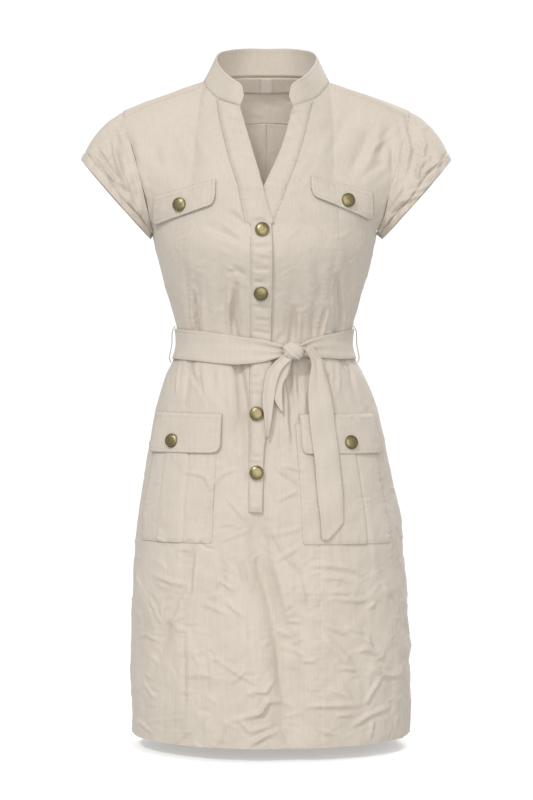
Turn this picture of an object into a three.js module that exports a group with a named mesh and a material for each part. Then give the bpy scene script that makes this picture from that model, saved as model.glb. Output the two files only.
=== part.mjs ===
// Belted shirt dress with cap sleeves, in millimetres.
// +Z is up, -Y is the front and +X is the side on the viewer's right.
// The origin lies midway between the two points where the collar meets the shoulder line.
// "left" and "right" in the names are the viewer's, so left is -X.
import * as THREE from 'three';

// Driving dimensions
const CLOTH = 1.2;
const SEAM = 0.3;
const LAY = 0.6;
const CHEST_LAY = 1.3;
const FACING_LAY = 1.5;
const HEM_Z = -880;
const ARMPIT_Z = -205;
const SLIT_END_Z = -565;
const PLACKET_END_Z = -577;
const ARMHOLE_DEG = 80;
const SIDE_DEG = 90;
const V_POINT = { x: -4, y: -122, z: -156 };
const BELT_THICK = 1.6;
const CUFF_WIDTH = 12;
const FACING_DEPTH = 23;
const BUTTON_RADIUS = 9.3;
const BUTTON_RISE = 4.2;
const COLLAR_WALL = 1.8;
const FACING_WALL = 0.8;
const LOOP_RADIUS = 0.8;

// How far the lay-on pieces stand off the cloth they are sewn to
const UPPER_PLACKET_LAY = LAY * 3 + CLOTH;
const HIP_FLAP_LAY = LAY * 2 + CLOTH;
const CUFF_LAY = LAY + 0.2;

// Half width, depth of the front and back, and centre of the trunk at each height
const RINGS = [
  { z: -880, half: 187.8, front: 140, back: 143, mid: 6 },
  { z: -811, half: 188, front: 138, back: 141, mid: 6 },
  { z: -754, half: 188, front: 135, back: 139, mid: 6 },
  { z: -700, half: 186.3, front: 132, back: 137, mid: 5 },
  { z: -650, half: 182.5, front: 129, back: 135, mid: 4 },
  { z: -590, half: 176.5, front: 125, back: 133, mid: 3 },
  { z: -533, half: 167, front: 121, back: 130, mid: 2 },
  { z: -494, half: 160, front: 118, back: 126, mid: 1 },
  { z: -450, half: 151.4, front: 114, back: 119, mid: 0 },
  { z: -419, half: 143, front: 110, back: 112, mid: -1 },
  { z: -396, half: 134, front: 105, back: 104, mid: -2 },
  { z: -376, half: 123, front: 100, back: 97, mid: -3 },
  { z: -355, half: 117, front: 98, back: 94, mid: -3 },
  { z: -334, half: 119, front: 101, back: 95, mid: -3 },
  { z: -298, half: 128.5, front: 115, back: 100, mid: -3 },
  { z: -260, half: 140, front: 130, back: 106, mid: -2 },
  { z: -232, half: 147, front: 135, back: 110, mid: -2 },
  { z: -205, half: 153, front: 128, back: 112, mid: -2 },
];

// Lines of the front opening: the slit in the front, the free edge of the upper placket
// and the stitch line where it joins the front
const PLACKET_LINES = [
  { z: -577, slit: -14, edge: -5, stitch: -24 },
  { z: -530, slit: -13, edge: -4.5, stitch: -24 },
  { z: -495, slit: -12, edge: -3, stitch: -24 },
  { z: -470, slit: -11, edge: 1, stitch: -23.5 },
  { z: -431, slit: -9, edge: 7, stitch: -23 },
  { z: -357, slit: -8, edge: 5.5, stitch: -22 },
  { z: -295, slit: -7, edge: 6.8, stitch: -21.5 },
  { z: -238, slit: -6, edge: 7.5, stitch: -21 },
  { z: -205, slit: -5, edge: 6, stitch: -22 },
];

// The plackets beside the V, row by row upwards: reach past the edge, and width from it
const V_BANDS = {
  left: [
    { past: 11.6, wide: 16.4 }, { past: 6, wide: 20.5 }, { past: 0.8, wide: 25 }, { past: 0.8, wide: 28 },
    { past: 0.8, wide: 31 }, { past: 0.8, wide: 34 }, { past: 0.8, wide: 38 }, { past: 0.8, wide: 41 },
  ],
  right: [
    { past: 5, wide: 10 }, { past: 4, wide: 18 }, { past: 0.8, wide: 25 }, { past: 0.8, wide: 26 },
    { past: 0.8, wide: 26 }, { past: 0.8, wide: 27 }, { past: 0.8, wide: 29 }, { past: 0.8, wide: 33 },
  ],
};

// Angle of the two front panel seams round the trunk, in degrees from the front centre
const PANEL_SEAMS = [
  { z: -880, left: 37, right: 20 },
  { z: -620, left: 39, right: 22 },
  { z: -450, left: 46, right: 30 },
  { z: -350, left: 54, right: 40 },
  { z: -205, left: 47, right: 40 },
];

// Soft troughs pressed into the trunk: from and to in angle and height, half width and depth
const FOLDS = [
  { name: 'skirt sweep top', a0: -4, z0: -598, a1: 8, z1: -730, wide: 13, deep: 6 },
  { name: 'skirt sweep foot', a0: 8, z0: -730, a1: 11.5, z1: -890, wide: 14, deep: 6 },
  { name: 'left of placket', a0: -15, z0: -384, a1: -14, z1: -520, wide: 8, deep: 6 },
  { name: 'right of placket', a0: 14, z0: -384, a1: 13, z1: -505, wide: 7, deep: 5 },
  { name: 'under knot', a0: 22, z0: -384, a1: 21, z1: -470, wide: 7, deep: 4 },
  { name: 'left hip tuck', a0: -50, z0: -382, a1: -46, z1: -432, wide: 7, deep: 4 },
  { name: 'right hip tuck', a0: 58, z0: -382, a1: 55, z1: -430, wide: 7, deep: 4 },
  { name: 'left waist tuck', a0: -49, z0: -338, a1: -43, z1: -292, wide: 7, deep: 4.5 },
  { name: 'left inner tuck', a0: -19, z0: -340, a1: -17, z1: -285, wide: 7, deep: 5 },
  { name: 'right inner tuck', a0: 17, z0: -344, a1: 16, z1: -290, wide: 7, deep: 5 },
  { name: 'right middle tuck', a0: 34, z0: -340, a1: 31, z1: -305, wide: 6, deep: 4 },
  { name: 'right waist tuck', a0: 56, z0: -338, a1: 40, z1: -262, wide: 8, deep: 5 },
  { name: 'back tuck 1', a0: 112, z0: -340, a1: 116, z1: -292, wide: 9, deep: 4 },
  { name: 'back tuck 2', a0: 139, z0: -340, a1: 141, z1: -270, wide: 9, deep: 5 },
  { name: 'back tuck 3', a0: 163, z0: -340, a1: 162, z1: -296, wide: 8, deep: 4 },
  { name: 'back tuck 4', a0: -158, z0: -340, a1: -159, z1: -278, wide: 9, deep: 5 },
  { name: 'back tuck 5', a0: -133, z0: -340, a1: -137, z1: -290, wide: 9, deep: 4 },
  { name: 'back skirt 1', a0: 118, z0: -380, a1: 122, z1: -470, wide: 10, deep: 5 },
  { name: 'back skirt 2', a0: 146, z0: -380, a1: 148, z1: -520, wide: 11, deep: 6 },
  { name: 'back skirt 3', a0: 168, z0: -380, a1: 167, z1: -460, wide: 9, deep: 4 },
  { name: 'back skirt 4', a0: -152, z0: -380, a1: -153, z1: -500, wide: 11, deep: 6 },
  { name: 'back skirt 5', a0: -124, z0: -380, a1: -128, z1: -455, wide: 9, deep: 5 },
  { name: 'back hem sweep', a0: -160, z0: -700, a1: -152, z1: -890, wide: 15, deep: 5 },
];

// Half of the seam between collar and dress, from the centre back to the collar's front end
const NECK = [
  { x: 0, y: 78, z: 21 },
  { x: 32, y: 73, z: 20 },
  { x: 60, y: 54, z: 15.5 },
  { x: 77, y: 27, z: 8.5 },
  { x: 83, y: 2, z: 4 },
  { x: 84, y: -17, z: -3 },
  { x: 78, y: -36, z: -15.5 },
  { x: 66, y: -55, z: -30 },
  { x: 51, y: -70, z: -38 },
  { x: 42, y: -76, z: -41.5 },
  { x: 35, y: -80, z: -44 },
];
const NECK_SHOULDER_ROW = 5;

// Top edge of the collar over the same points
const COLLAR_RIM = [
  { x: 0, y: 67, z: 57.5 },
  { x: 28, y: 62, z: 57 },
  { x: 51, y: 44, z: 52 },
  { x: 64, y: 22, z: 45 },
  { x: 69, y: 3, z: 36 },
  { x: 67, y: -17, z: 25 },
  { x: 60, y: -37, z: 12 },
  { x: 52, y: -54, z: 1 },
  { x: 43, y: -66, z: -7 },
  { x: 33, y: -73.5, z: -16 },
  { x: 29.5, y: -77.5, z: -31 },
];

// Seam of the yoke on the front of the shoulder, from the neck to the armhole
const FRONT_YOKE = [
  { x: 84, y: -17, z: -3 },
  { x: 120, y: -18, z: -16 },
  { x: 157, y: -16, z: -30 },
  { x: 193, y: -12, z: -46.5 },
];

// Seam of the yoke across the back, from the armhole to the centre back
const BACK_YOKE = [
  { x: 184, y: 50, z: -78 },
  { x: 150, y: 80, z: -66 },
  { x: 100, y: 102, z: -53 },
  { x: 50, y: 111, z: -44 },
  { x: 0, y: 113, z: -40 },
];

// Armhole: its front edge, its back edge and the yoke between them
const FRONT_ARMHOLE = [
  { x: 148.7, y: -22.2, z: -205 },
  { x: 156, y: -42, z: -188 },
  { x: 162, y: -51, z: -163 },
  { x: 170, y: -53, z: -130 },
  { x: 180, y: -46, z: -96 },
  { x: 189, y: -29, z: -66 },
  { x: 193, y: -12, z: -46.5 },
];
const BACK_ARMHOLE = [
  { x: 148.7, y: 19.4, z: -205 },
  { x: 154, y: 44, z: -188 },
  { x: 160, y: 57, z: -163 },
  { x: 168, y: 62, z: -130 },
  { x: 178, y: 58, z: -100 },
  { x: 184, y: 50, z: -78 },
];
const YOKE_ARMHOLE = [
  { x: 184, y: 50, z: -78 },
  { x: 191, y: 28, z: -53 },
  { x: 194, y: 2, z: -39 },
  { x: 193, y: -12, z: -46.5 },
];

// Sleeve opening: the ends of its long diameter, its half depth and how far its edges bow out
const SLEEVE_TOP = { x: 250, z: -107 };
const SLEEVE_FOOT = { x: 161, z: -212 };
const SLEEVE_HALF_DEPTH = 58;
const SLEEVE_BOW = 1;

// Run of the sleeve's cloth from the armhole to the opening: the ways it leaves and arrives, how far
// they give way to a straight line at the shoulder, and how much more of that towards the armpit
const SLEEVE_RUN = {
  gap: 0.4,
  armpitGap: 3.2,
  armpitFrom: 150,
  armpitTo: 205,
  leave: { x: 0.9, y: 0.1, z: -0.42, straight: 0.35, armpit: 0.6 },
  arrive: { x: 0.35, z: -0.94, length: 0.9, straight: 0.3, armpit: 0.65 },
  hubDrop: 75,
  turnBy: 1.6,
};

// Curves' middle points: on the V's edge, on the upper back and on the yoke
const V_MIDDLE = { x: 20, y: -103, z: -102 };
const UPPER_BACK_MIDDLE = { x: 0, y: 120, z: -125 };
const YOKE_MIDDLE = { x: 0, y: 102, z: -8 };

// Belt: height of its two edges at each angle, and how far it stands off the waist
const BELT_EDGES = [
  { deg: -180, top: -336, bottom: -375, off: 1.2 },
  { deg: -90, top: -335, bottom: -375, off: 1.2 },
  { deg: -50, top: -340, bottom: -379, off: 1.2 },
  { deg: -20, top: -347, bottom: -385, off: 3.4 },
  { deg: -12, top: -350, bottom: -385, off: 5.6 },
  { deg: 0, top: -353, bottom: -382, off: 5.8 },
  { deg: 11, top: -359, bottom: -376, off: 5 },
  { deg: 21, top: -359, bottom: -375, off: 3.6 },
  { deg: 32, top: -350, bottom: -376, off: 1.6 },
  { deg: 60, top: -341, bottom: -377, off: 1.2 },
  { deg: 90, top: -335, bottom: -375, off: 1.2 },
  { deg: 180, top: -336, bottom: -375, off: 1.2 },
];
const KNOT_CLEAR = 1.9;
const KNOT = { x: 30.5, z: -368, wide: 27, tall: 24, deep: 18 };

// Belt ends below the knot: both edges and how far the strip stands off the skirt
const TAIL_LEFT = [
  { z: -380.5, from: 20, to: 30, off: 14 },
  { z: -386, from: 9, to: 22, off: 11.5 },
  { z: -396, from: 1, to: 16, off: 9 },
  { z: -414, from: -3, to: 11, off: 7 },
  { z: -434, from: -4.5, to: 8.5, off: 7.5 },
  { z: -460, from: -2, to: 5, off: 8.5 },
  { z: -480, from: -1, to: 1.5, off: 7.5 },
];
const TAIL_RIGHT = [
  { z: -380.5, from: 31.5, to: 41, off: 14 },
  { z: -388, from: 46, to: 62, off: 9.5 },
  { z: -408, from: 51, to: 74, off: 6.5 },
  { z: -440, from: 52, to: 81.5, off: 6 },
  { z: -476, from: 55, to: 87, off: 6 },
  { z: -512, from: 59.5, to: 91, off: 6 },
  { z: -550, from: 63, to: 94, off: 5.5 },
  { z: -592, from: 68, to: 96.5, off: 5 },
  { z: -610, from: 70, to: 82, off: 5 },
];

// Lay-on pieces of the skirt, by their corners' x and their edges' heights
const HIP_FLAPS = {
  left: { inner: -58, outer: -150, top: [-449, -446], bottom: [-501, -501], round: 9 },
  right: { inner: 44.5, outer: 146, top: [-449.5, -449.5], bottom: [-502, -503], round: 5 },
};
const HIP_POCKETS = {
  left: { inner: -67, outer: -157, top: [-462, -460], bottom: [-618, -618], round: 3 },
  right: { inner: 43, outer: 153, top: [-462, -462], bottom: [-619, -621], round: 3 },
};
const CHEST_FLAPS = {
  left: { inner: [-65.5, -144], outer: [-150, -162], depth: [34, 38], lean: 3, round: 9 },
  right: { inner: [57.5, -140], outer: [140, -157], depth: [27, 38], lean: 3, round: 9 },
};
const PLACKET_BUTTONS = [
  { name: 'button_placket_1', x: -5.5, z: -213 },
  { name: 'button_placket_2', x: -7, z: -292 },
  { name: 'button_placket_3', x: -12.5, z: -450 },
  { name: 'button_placket_4', x: -12.5, z: -526 },
];
const FLAP_BUTTONS = [
  { name: 'button_chest_left', x: -113, z: -175.5, on: 'chest' },
  { name: 'button_chest_right', x: 105.5, z: -170.5, on: 'chest' },
  { name: 'button_hip_left', x: -122, z: -485.5, on: 'skirt' },
  { name: 'button_hip_right', x: 109, z: -487.5, on: 'skirt' },
];

// Cells of the panels' grids
const SEAM_COLUMN = 8;
const ARMHOLE_COLUMN = 16;
const FRONT_COLUMNS = 17;
const BACK_COLUMNS = 12;
const UPPER_ROWS = 7;
const V_ROW = 2;
const FLAP_ROW = 2;
const BACK_UPPER_ROWS = 5;
const YOKE_ROWS = 4;
const YOKE_GAP = 0.009;
const UPPER_GAP = 0.0015;
const BACK_UPPER_GAP = 0.002;
const NECK_GAP = 0.012;
const YOKE_SHOULDER_COLUMNS = 6;
const YOKE_COLUMNS = 12;
const TRUNK_LEVELS = [
  HEM_Z, -848, -812, -776, -740, -704, -668, -632, -598, -565, -532, -500, -472, -446, -422,
  -402, -386, -366, -346, -330, -308, -284, -258, -232, ARMPIT_Z,
];
const SLIT_ROW = TRUNK_LEVELS.indexOf(SLIT_END_Z);
const TRUNK_ROWS = TRUNK_LEVELS.length - 1;

// Materials
const cloth = () => new THREE.MeshStandardMaterial({ color: 0xd8cdb9, roughness: 0.9, metalness: 0 });
const brass = () => new THREE.MeshStandardMaterial({ color: 0x8f7f55, roughness: 0.42, metalness: 0.9 });
const tape = () => new THREE.MeshStandardMaterial({ color: 0xe6dfd2, roughness: 0.85, metalness: 0 });

const dress = new THREE.Group();
const DEG = Math.PI / 180;
const vec = (p) => new THREE.Vector3(p.x, p.y, p.z);
const smallTurn = (deg) => (deg > 180 ? deg - 360 : deg < -180 ? deg + 360 : deg);
const mirrored = (points, sign) => points.map((p) => ({ ...p, x: p.x * sign }));
const steps = (count) => Array.from({ length: count + 1 }, (_, i) => i);

// Smooth cubic through the rows of a table, for every named column, at a value of its key
function lookup(table, key, value) {
  const last = table.length - 1;
  let i = 0;
  while (i < last - 1 && value > table[i + 1][key]) i += 1;
  const [a, b] = [table[i], table[i + 1]];
  const span = b[key] - a[key];
  const t = THREE.MathUtils.clamp((value - a[key]) / span, 0, 1);
  const before = table[Math.max(i - 1, 0)];
  const after = table[Math.min(i + 2, last)];
  const row = {};
  for (const column of Object.keys(a)) {
    if (typeof a[column] !== 'number' || column === key) continue;
    const slopeA = (b[column] - before[column]) / (b[key] - before[key]);
    const slopeB = (after[column] - a[column]) / (after[key] - a[key]);
    row[column] = hermite(a[column], slopeA * span, b[column], slopeB * span, t);
  }
  return row;
}

function hermite(p0, m0, p1, m1, t) {
  const s = 1 - t;
  return p0 * s * s * (1 + 2 * t) + m0 * t * s * s + p1 * t * t * (3 - 2 * t) - m1 * t * t * s;
}

// Point at a fraction of the length of a smooth curve through a list of points
function along(points, fraction) {
  let total = 0;
  const rows = points.map((p, i) => {
    if (i > 0) total += vec(p).distanceTo(vec(points[i - 1]));
    return { x: p.x, y: p.y, z: p.z, length: total };
  });
  return vec(lookup(rows, 'length', total * fraction));
}

// Patch between four edge curves that share their corners
function coons(foot, head, start, end, u, v) {
  const lerpUV = (a, b, c, d) => a
    .clone().multiplyScalar((1 - u) * (1 - v))
    .addScaledVector(b, u * (1 - v)).addScaledVector(c, (1 - u) * v).addScaledVector(d, u * v);
  return foot(u).multiplyScalar(1 - v)
    .addScaledVector(head(u), v)
    .addScaledVector(start(v), 1 - u)
    .addScaledVector(end(v), u)
    .sub(lerpUV(foot(0), foot(1), head(0), head(1)));
}

// The trunk: ellipses with a deeper or flatter front and back, pressed in along the folds
function trunkBase(deg, z) {
  const ring = lookup(RINGS, 'z', z);
  const depth = Math.abs(deg) <= SIDE_DEG ? ring.front : ring.back;
  const x = ring.mid + ring.half * Math.sin(deg * DEG);
  return new THREE.Vector3(x, -depth * Math.cos(deg * DEG), z);
}

function foldDepth(deg, z) {
  const ring = lookup(RINGS, 'z', z);
  const arc = ring.half * DEG;
  let depth = 0;
  for (const fold of FOLDS) {
    const alongZ = THREE.MathUtils.clamp((z - fold.z0) / (fold.z1 - fold.z0), 0, 1);
    const centre = fold.a0 + (fold.a1 - fold.a0) * alongZ;
    const across = (deg - centre) * arc;
    const beyond = z - (fold.z0 + (fold.z1 - fold.z0) * alongZ);
    const reach = (across * across + beyond * beyond * 0.25) / (fold.wide * fold.wide);
    const fade = 1 - 0.75 * alongZ * alongZ;
    depth += fold.deep * fade * Math.exp(-reach);
  }
  return depth;
}

function trunk(deg, z) {
  const turn = smallTurn(deg);
  const point = trunkBase(turn, z);
  const inward = new THREE.Vector3(-Math.sin(turn * DEG), Math.cos(turn * DEG), 0);
  return point.addScaledVector(inward, foldDepth(turn, z));
}

function degAt(x, z) {
  const ring = lookup(RINGS, 'z', z);
  return Math.asin(THREE.MathUtils.clamp((x - ring.mid) / ring.half, -1, 1)) / DEG;
}

const SIDES = { left: -1, right: 1 };

// Angle of a column of the front at a height: slit, panel seam, armhole and side seam in turn
function frontDeg(side, column, z) {
  const sign = SIDES[side];
  const line = lookup(PLACKET_LINES, 'z', z);
  const gap = z > SLIT_END_Z + 1 ? SEAM * 2 * sign : 0;
  const slit = degAt(line.slit + gap, z) * sign;
  const seam = lookup(PANEL_SEAMS, 'z', z)[side];
  const stops = [slit, seam, ARMHOLE_DEG, SIDE_DEG];
  const counts = [0, SEAM_COLUMN, ARMHOLE_COLUMN, FRONT_COLUMNS];
  let part = 0;
  while (part < 2 && column > counts[part + 1]) part += 1;
  const share = (column - counts[part]) / (counts[part + 1] - counts[part]);
  return sign * THREE.MathUtils.lerp(stops[part], stops[part + 1], share);
}

// Front above the armpit, between the V, the neck, the yoke and the armhole
function chest(side, u, v) {
  const sign = SIDES[side];
  const foot = (c) => trunk(frontDeg(side, c * ARMHOLE_COLUMN, ARMPIT_Z), ARMPIT_Z);
  const corner = SEAM_COLUMN / ARMHOLE_COLUMN;
  const neckPart = mirrored(NECK.slice(NECK_SHOULDER_ROW), sign).reverse();
  const yokePart = mirrored(FRONT_YOKE, sign);
  const head = (c) => (c < corner
    ? along(neckPart, c / corner)
    : along(yokePart, (c - corner) / (1 - corner)));
  const bend = V_ROW / UPPER_ROWS;
  const below = [foot(0), vec({ ...V_POINT, x: V_POINT.x + sign })];
  const vEdge = [below[1], vec({ ...V_MIDDLE, x: V_MIDDLE.x * sign }), head(0)];
  const inner = (t) => (t < bend ? along(below, t / bend) : along(vEdge, (t - bend) / (1 - bend)));
  const outerEdge = [foot(1), ...mirrored(FRONT_ARMHOLE, sign).slice(1)];
  const outer = (t) => along(outerEdge, t);
  return coons(foot, head, inner, outer, u, v);
}

// Back above the armpit, from the centre back to the armhole, up to the yoke
function upperBack(side, u, v) {
  const sign = SIDES[side];
  const foot = (c) => trunk(sign * (180 - c * ARMHOLE_DEG), ARMPIT_Z);
  const headLine = mirrored(BACK_YOKE, sign).reverse();
  const head = (c) => along(headLine, c);
  const centre = [foot(0), vec(UPPER_BACK_MIDDLE), head(0)];
  const outerEdge = [foot(1), ...mirrored(BACK_ARMHOLE, sign).slice(1)];
  return coons(foot, head, (t) => along(centre, t), (t) => along(outerEdge, t), u, v);
}

// Yoke from the back seam over the shoulders to the front seam, for u from -1 to 1
function yoke(u, v) {
  const sign = u < 0 ? -1 : 1;
  const size = Math.abs(u);
  const corner = 1 - YOKE_SHOULDER_COLUMNS / YOKE_COLUMNS;
  const neckPart = mirrored(NECK.slice(0, NECK_SHOULDER_ROW + 1), sign);
  const headOuter = mirrored(FRONT_YOKE, sign);
  const head = (c) => (c < corner
    ? along(neckPart, c / corner)
    : along(headOuter, (c - corner) / (1 - corner)));
  const footLine = mirrored(BACK_YOKE, sign).reverse();
  const foot = (c) => along(footLine, c);
  const centre = [foot(0), vec(YOKE_MIDDLE), head(0)];
  const edge = mirrored(YOKE_ARMHOLE, sign);
  return coons(foot, head, (t) => along(centre, t), (t) => along(edge, t), size, v);
}

// Unit normal of a surface, on the side that faces away from a middle point
function normalAt(surface, u, v, middle, step = 1e-3) {
  const du = surface(u + step, v).sub(surface(u - step, v));
  const dv = surface(u, v + step).sub(surface(u, v - step));
  const normal = du.cross(dv).normalize();
  const outward = surface(u, v).sub(middle(surface(u, v)));
  return normal.dot(outward) < 0 ? normal.negate() : normal;
}

// Middle points that the trunk and the shoulders face away from
const axisMiddle = (p) => new THREE.Vector3(0, 0, p.z);
const shoulderMiddle = (p) => new THREE.Vector3(p.x * 0.8, 0, p.z - 60);

// Cloth wall over the cells of a net of nodes, from one distance along the normals to another
class Net {
  constructor() {
    this.nodes = [];
    this.keys = new Map();
    this.cells = [];
  }

  node(key, make) {
    if (!this.keys.has(key)) {
      this.keys.set(key, this.nodes.length);
      this.nodes.push(make());
    }
    return this.keys.get(key);
  }

  // How far a cell's winding agrees with its first node's normal
  facing([a, b, c]) {
    const [p, q, r] = [a, b, c].map((i) => this.nodes[i].point);
    return q.clone().sub(p).cross(r.clone().sub(p)).dot(this.nodes[a].normal);
  }

  // A rectangular block of cells; place(i, j) gives a node's point and normal
  block(columns, rows, place, key = (i, j) => `${i},${j}`) {
    const index = (i, j) => this.node(key(i, j), () => place(i, j));
    const cells = [];
    for (let i = 0; i < columns; i += 1) {
      for (let j = 0; j < rows; j += 1) {
        cells.push([index(i, j), index(i + 1, j), index(i + 1, j + 1), index(i, j + 1)]);
      }
    }
    const agreement = cells.reduce((sum, cell) => sum + this.facing(cell), 0);
    this.cells.push(...(agreement < 0 ? cells.map((cell) => cell.reverse()) : cells));
    return this;
  }

  wall(name, material, inner = -CLOTH, outer = 0) {
    const count = this.nodes.length;
    const position = [];
    for (const offset of [outer, inner]) {
      for (const { point, normal } of this.nodes) {
        position.push(...point.clone().addScaledVector(normal, offset).toArray());
      }
    }
    const edges = new Map();
    const index = [];
    for (const [a, b, c, d] of this.cells) {
      index.push(a, b, c, a, c, d);
      index.push(a + count, c + count, b + count, a + count, d + count, c + count);
      for (const [p, q] of [[a, b], [b, c], [c, d], [d, a]]) {
        if (edges.has(`${q},${p}`)) edges.delete(`${q},${p}`);
        else edges.set(`${p},${q}`, [p, q]);
      }
    }
    for (const [p, q] of edges.values()) {
      index.push(p, p + count, q + count, p, q + count, q);
    }
    const geometry = new THREE.BufferGeometry();
    geometry.setAttribute('position', new THREE.Float32BufferAttribute(position, 3));
    geometry.setIndex(index);
    geometry.computeVertexNormals();
    return piece(name, geometry, material);
  }
}

function piece(name, geometry, material) {
  const mesh = new THREE.Mesh(geometry, material);
  mesh.name = name;
  dress.add(mesh);
  return mesh;
}

// Node of a surface whose parameters may be pulled a little inside a seam
function nodeOn(surface, u, v, middle = axisMiddle) {
  return { point: surface(u, v), normal: normalAt(surface, u, v, middle) };
}

// Degrees that half a seam's gap takes up on the trunk
const seamDeg = (z) => (SEAM / 2) / (lookup(RINGS, 'z', z).half * DEG);

function frontNode(side, column, row, shift) {
  if (row <= TRUNK_ROWS) {
    const z = TRUNK_LEVELS[row];
    const deg = frontDeg(side, column, z) + shift * seamDeg(z) * SIDES[side];
    return nodeOn(trunk, deg, z);
  }
  const v = (row - TRUNK_ROWS) / UPPER_ROWS;
  const u = column / ARMHOLE_COLUMN + shift * 0.001;
  const sunk = row === TRUNK_ROWS + UPPER_ROWS ? UPPER_GAP : 0;
  return nodeOn((a, b) => chest(side, a, b), u, v - sunk);
}

// Centre of the front, one piece below the slit, with the V and the neck above it
function frontCentre() {
  const net = new Net();
  const flapRow = TRUNK_ROWS + FLAP_ROW;
  const shoulderColumns = ARMHOLE_COLUMN - SEAM_COLUMN;
  for (const side of ['left', 'right']) {
    const key = (i, j) => (i === 0 && j <= SLIT_ROW ? `centre,${j}` : `${side},${i},${j}`);
    const place = (i, j) => frontNode(side, i, j, i === SEAM_COLUMN && j <= flapRow ? -1 : 0);
    net.block(SEAM_COLUMN, TRUNK_ROWS + UPPER_ROWS, place, key);
    const shoulder = (i, j) => place(i + SEAM_COLUMN, j + flapRow);
    const shoulderKey = (i, j) => key(i + SEAM_COLUMN, j + flapRow);
    net.block(shoulderColumns, UPPER_ROWS - FLAP_ROW, shoulder, shoulderKey);
  }
  net.wall('front_centre', cloth());
}

// Side of the front, from the hem to the armhole and the seam under the chest flap
function frontSide(side) {
  const net = new Net();
  const shiftOf = (i) => (i === SEAM_COLUMN ? 1 : i === FRONT_COLUMNS ? -1 : 0);
  const place = (i, j) => frontNode(side, i + SEAM_COLUMN, j, shiftOf(i + SEAM_COLUMN));
  net.block(FRONT_COLUMNS - SEAM_COLUMN, TRUNK_ROWS, place);
  const upper = (i, j) => {
    const node = place(i, j + TRUNK_ROWS);
    if (j === FLAP_ROW) node.point.z -= SEAM * 2;
    return node;
  };
  net.block(ARMHOLE_COLUMN - SEAM_COLUMN, FLAP_ROW, upper, (i, j) => `${i},${j + TRUNK_ROWS}`);
  net.wall(`front_side_${side}`, cloth());
}

// Half of the back, from the centre-back seam to the side seam and up to the yoke
function backPanel(side) {
  const net = new Net();
  const sign = SIDES[side];
  const armColumn = BACK_COLUMNS - 1;
  const degOf = (i) => (i <= armColumn ? 180 - (i / armColumn) * ARMHOLE_DEG : SIDE_DEG);
  const shiftOf = (i) => (i === 0 ? -1 : i === BACK_COLUMNS ? 1 : 0);
  const key = (i, j) => `${i},${j}`;
  const trunkPlace = (i, j) => {
    const z = TRUNK_LEVELS[j];
    return nodeOn(trunk, sign * (degOf(i) + shiftOf(i) * seamDeg(z)), z);
  };
  net.block(BACK_COLUMNS, TRUNK_ROWS, trunkPlace, key);
  const upperPlace = (i, j) => {
    if (j === 0) return trunkPlace(i, TRUNK_ROWS);
    const sunk = j === BACK_UPPER_ROWS ? BACK_UPPER_GAP : 0;
    const surface = (a, b) => upperBack(side, a, b);
    const node = nodeOn(surface, i / armColumn, j / BACK_UPPER_ROWS - sunk);
    if (i === 0) node.point.x = sign * SEAM * 0.5;
    return node;
  };
  net.block(armColumn, BACK_UPPER_ROWS, upperPlace, (i, j) => key(i, j + TRUNK_ROWS));
  net.wall(`back_${side}`, cloth());
}

function backYoke() {
  const net = new Net();
  const count = YOKE_COLUMNS * 2;
  const sunk = (j) => (j === 0 ? YOKE_GAP : j === YOKE_ROWS ? -YOKE_GAP : 0);
  const place = (i, j) => {
    const across = (i - YOKE_COLUMNS) / YOKE_COLUMNS;
    return nodeOn(yoke, across, j / YOKE_ROWS + sunk(j), shoulderMiddle);
  };
  net.block(count, YOKE_ROWS, place);
  net.wall('back_yoke', cloth());
}

// Standing band round the neck, open at the front, with rounded ends
function collar() {
  const net = new Net();
  const rows = 3;
  const half = NECK.length - 1;
  const lean = 0.24;
  const place = (i, j) => {
    const sign = i < half ? -1 : 1;
    const step = Math.abs(i - half);
    const seam = vec({ ...NECK[step], x: NECK[step].x * sign });
    const rim = vec({ ...COLLAR_RIM[step], x: COLLAR_RIM[step].x * sign });
    const up = rim.clone().sub(seam);
    const lift = SEAM * 1.4 / up.length();
    const height = THREE.MathUtils.lerp(lift, 1, j / rows);
    const point = seam.addScaledVector(up, height);
    const normal = new THREE.Vector3(point.x, point.y + 4, lean * up.length()).normalize();
    return { point, normal };
  };
  net.block(half * 2, rows, place);
  net.wall('collar', cloth(), -COLLAR_WALL, 0);
}

// Strip of cloth along the front opening, made from the front's points moved out
function placketStrip(side, name, inner) {
  const net = new Net();
  const columns = 3;
  const foot = side === 'left' ? PLACKET_END_Z : SLIT_END_Z + 12;
  const levels = TRUNK_LEVELS.filter((z) => z >= SLIT_END_Z && z < ARMPIT_Z && z > foot + 6);
  const heights = [foot, ...levels];
  const under = (z) => {
    const line = lookup(PLACKET_LINES, 'z', z);
    return side === 'left' ? [line.edge, line.stitch] : [line.slit - 5, line.edge - 1];
  };
  const onTrunk = (i, z) => {
    const [from, to] = under(z);
    return nodeOn(trunk, degAt(THREE.MathUtils.lerp(from, to, i / columns), z), z);
  };
  const upper = (i, j) => {
    const v = j / UPPER_ROWS;
    const surface = (a, b) => chest(side, a, b);
    const row = surface(0, v).distanceTo(surface(1, v));
    const band = V_BANDS[side][j];
    const across = THREE.MathUtils.lerp(-band.past, band.wide, i / columns) / row;
    const sunk = j === UPPER_ROWS ? NECK_GAP : 0;
    return nodeOn(surface, across, v - sunk);
  };
  const place = (i, j) => (j < heights.length
    ? onTrunk(i, heights[j])
    : upper(i, j - heights.length));
  net.block(columns, heights.length + UPPER_ROWS, place);
  net.wall(name, cloth(), inner, inner + CLOTH);
}

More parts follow.
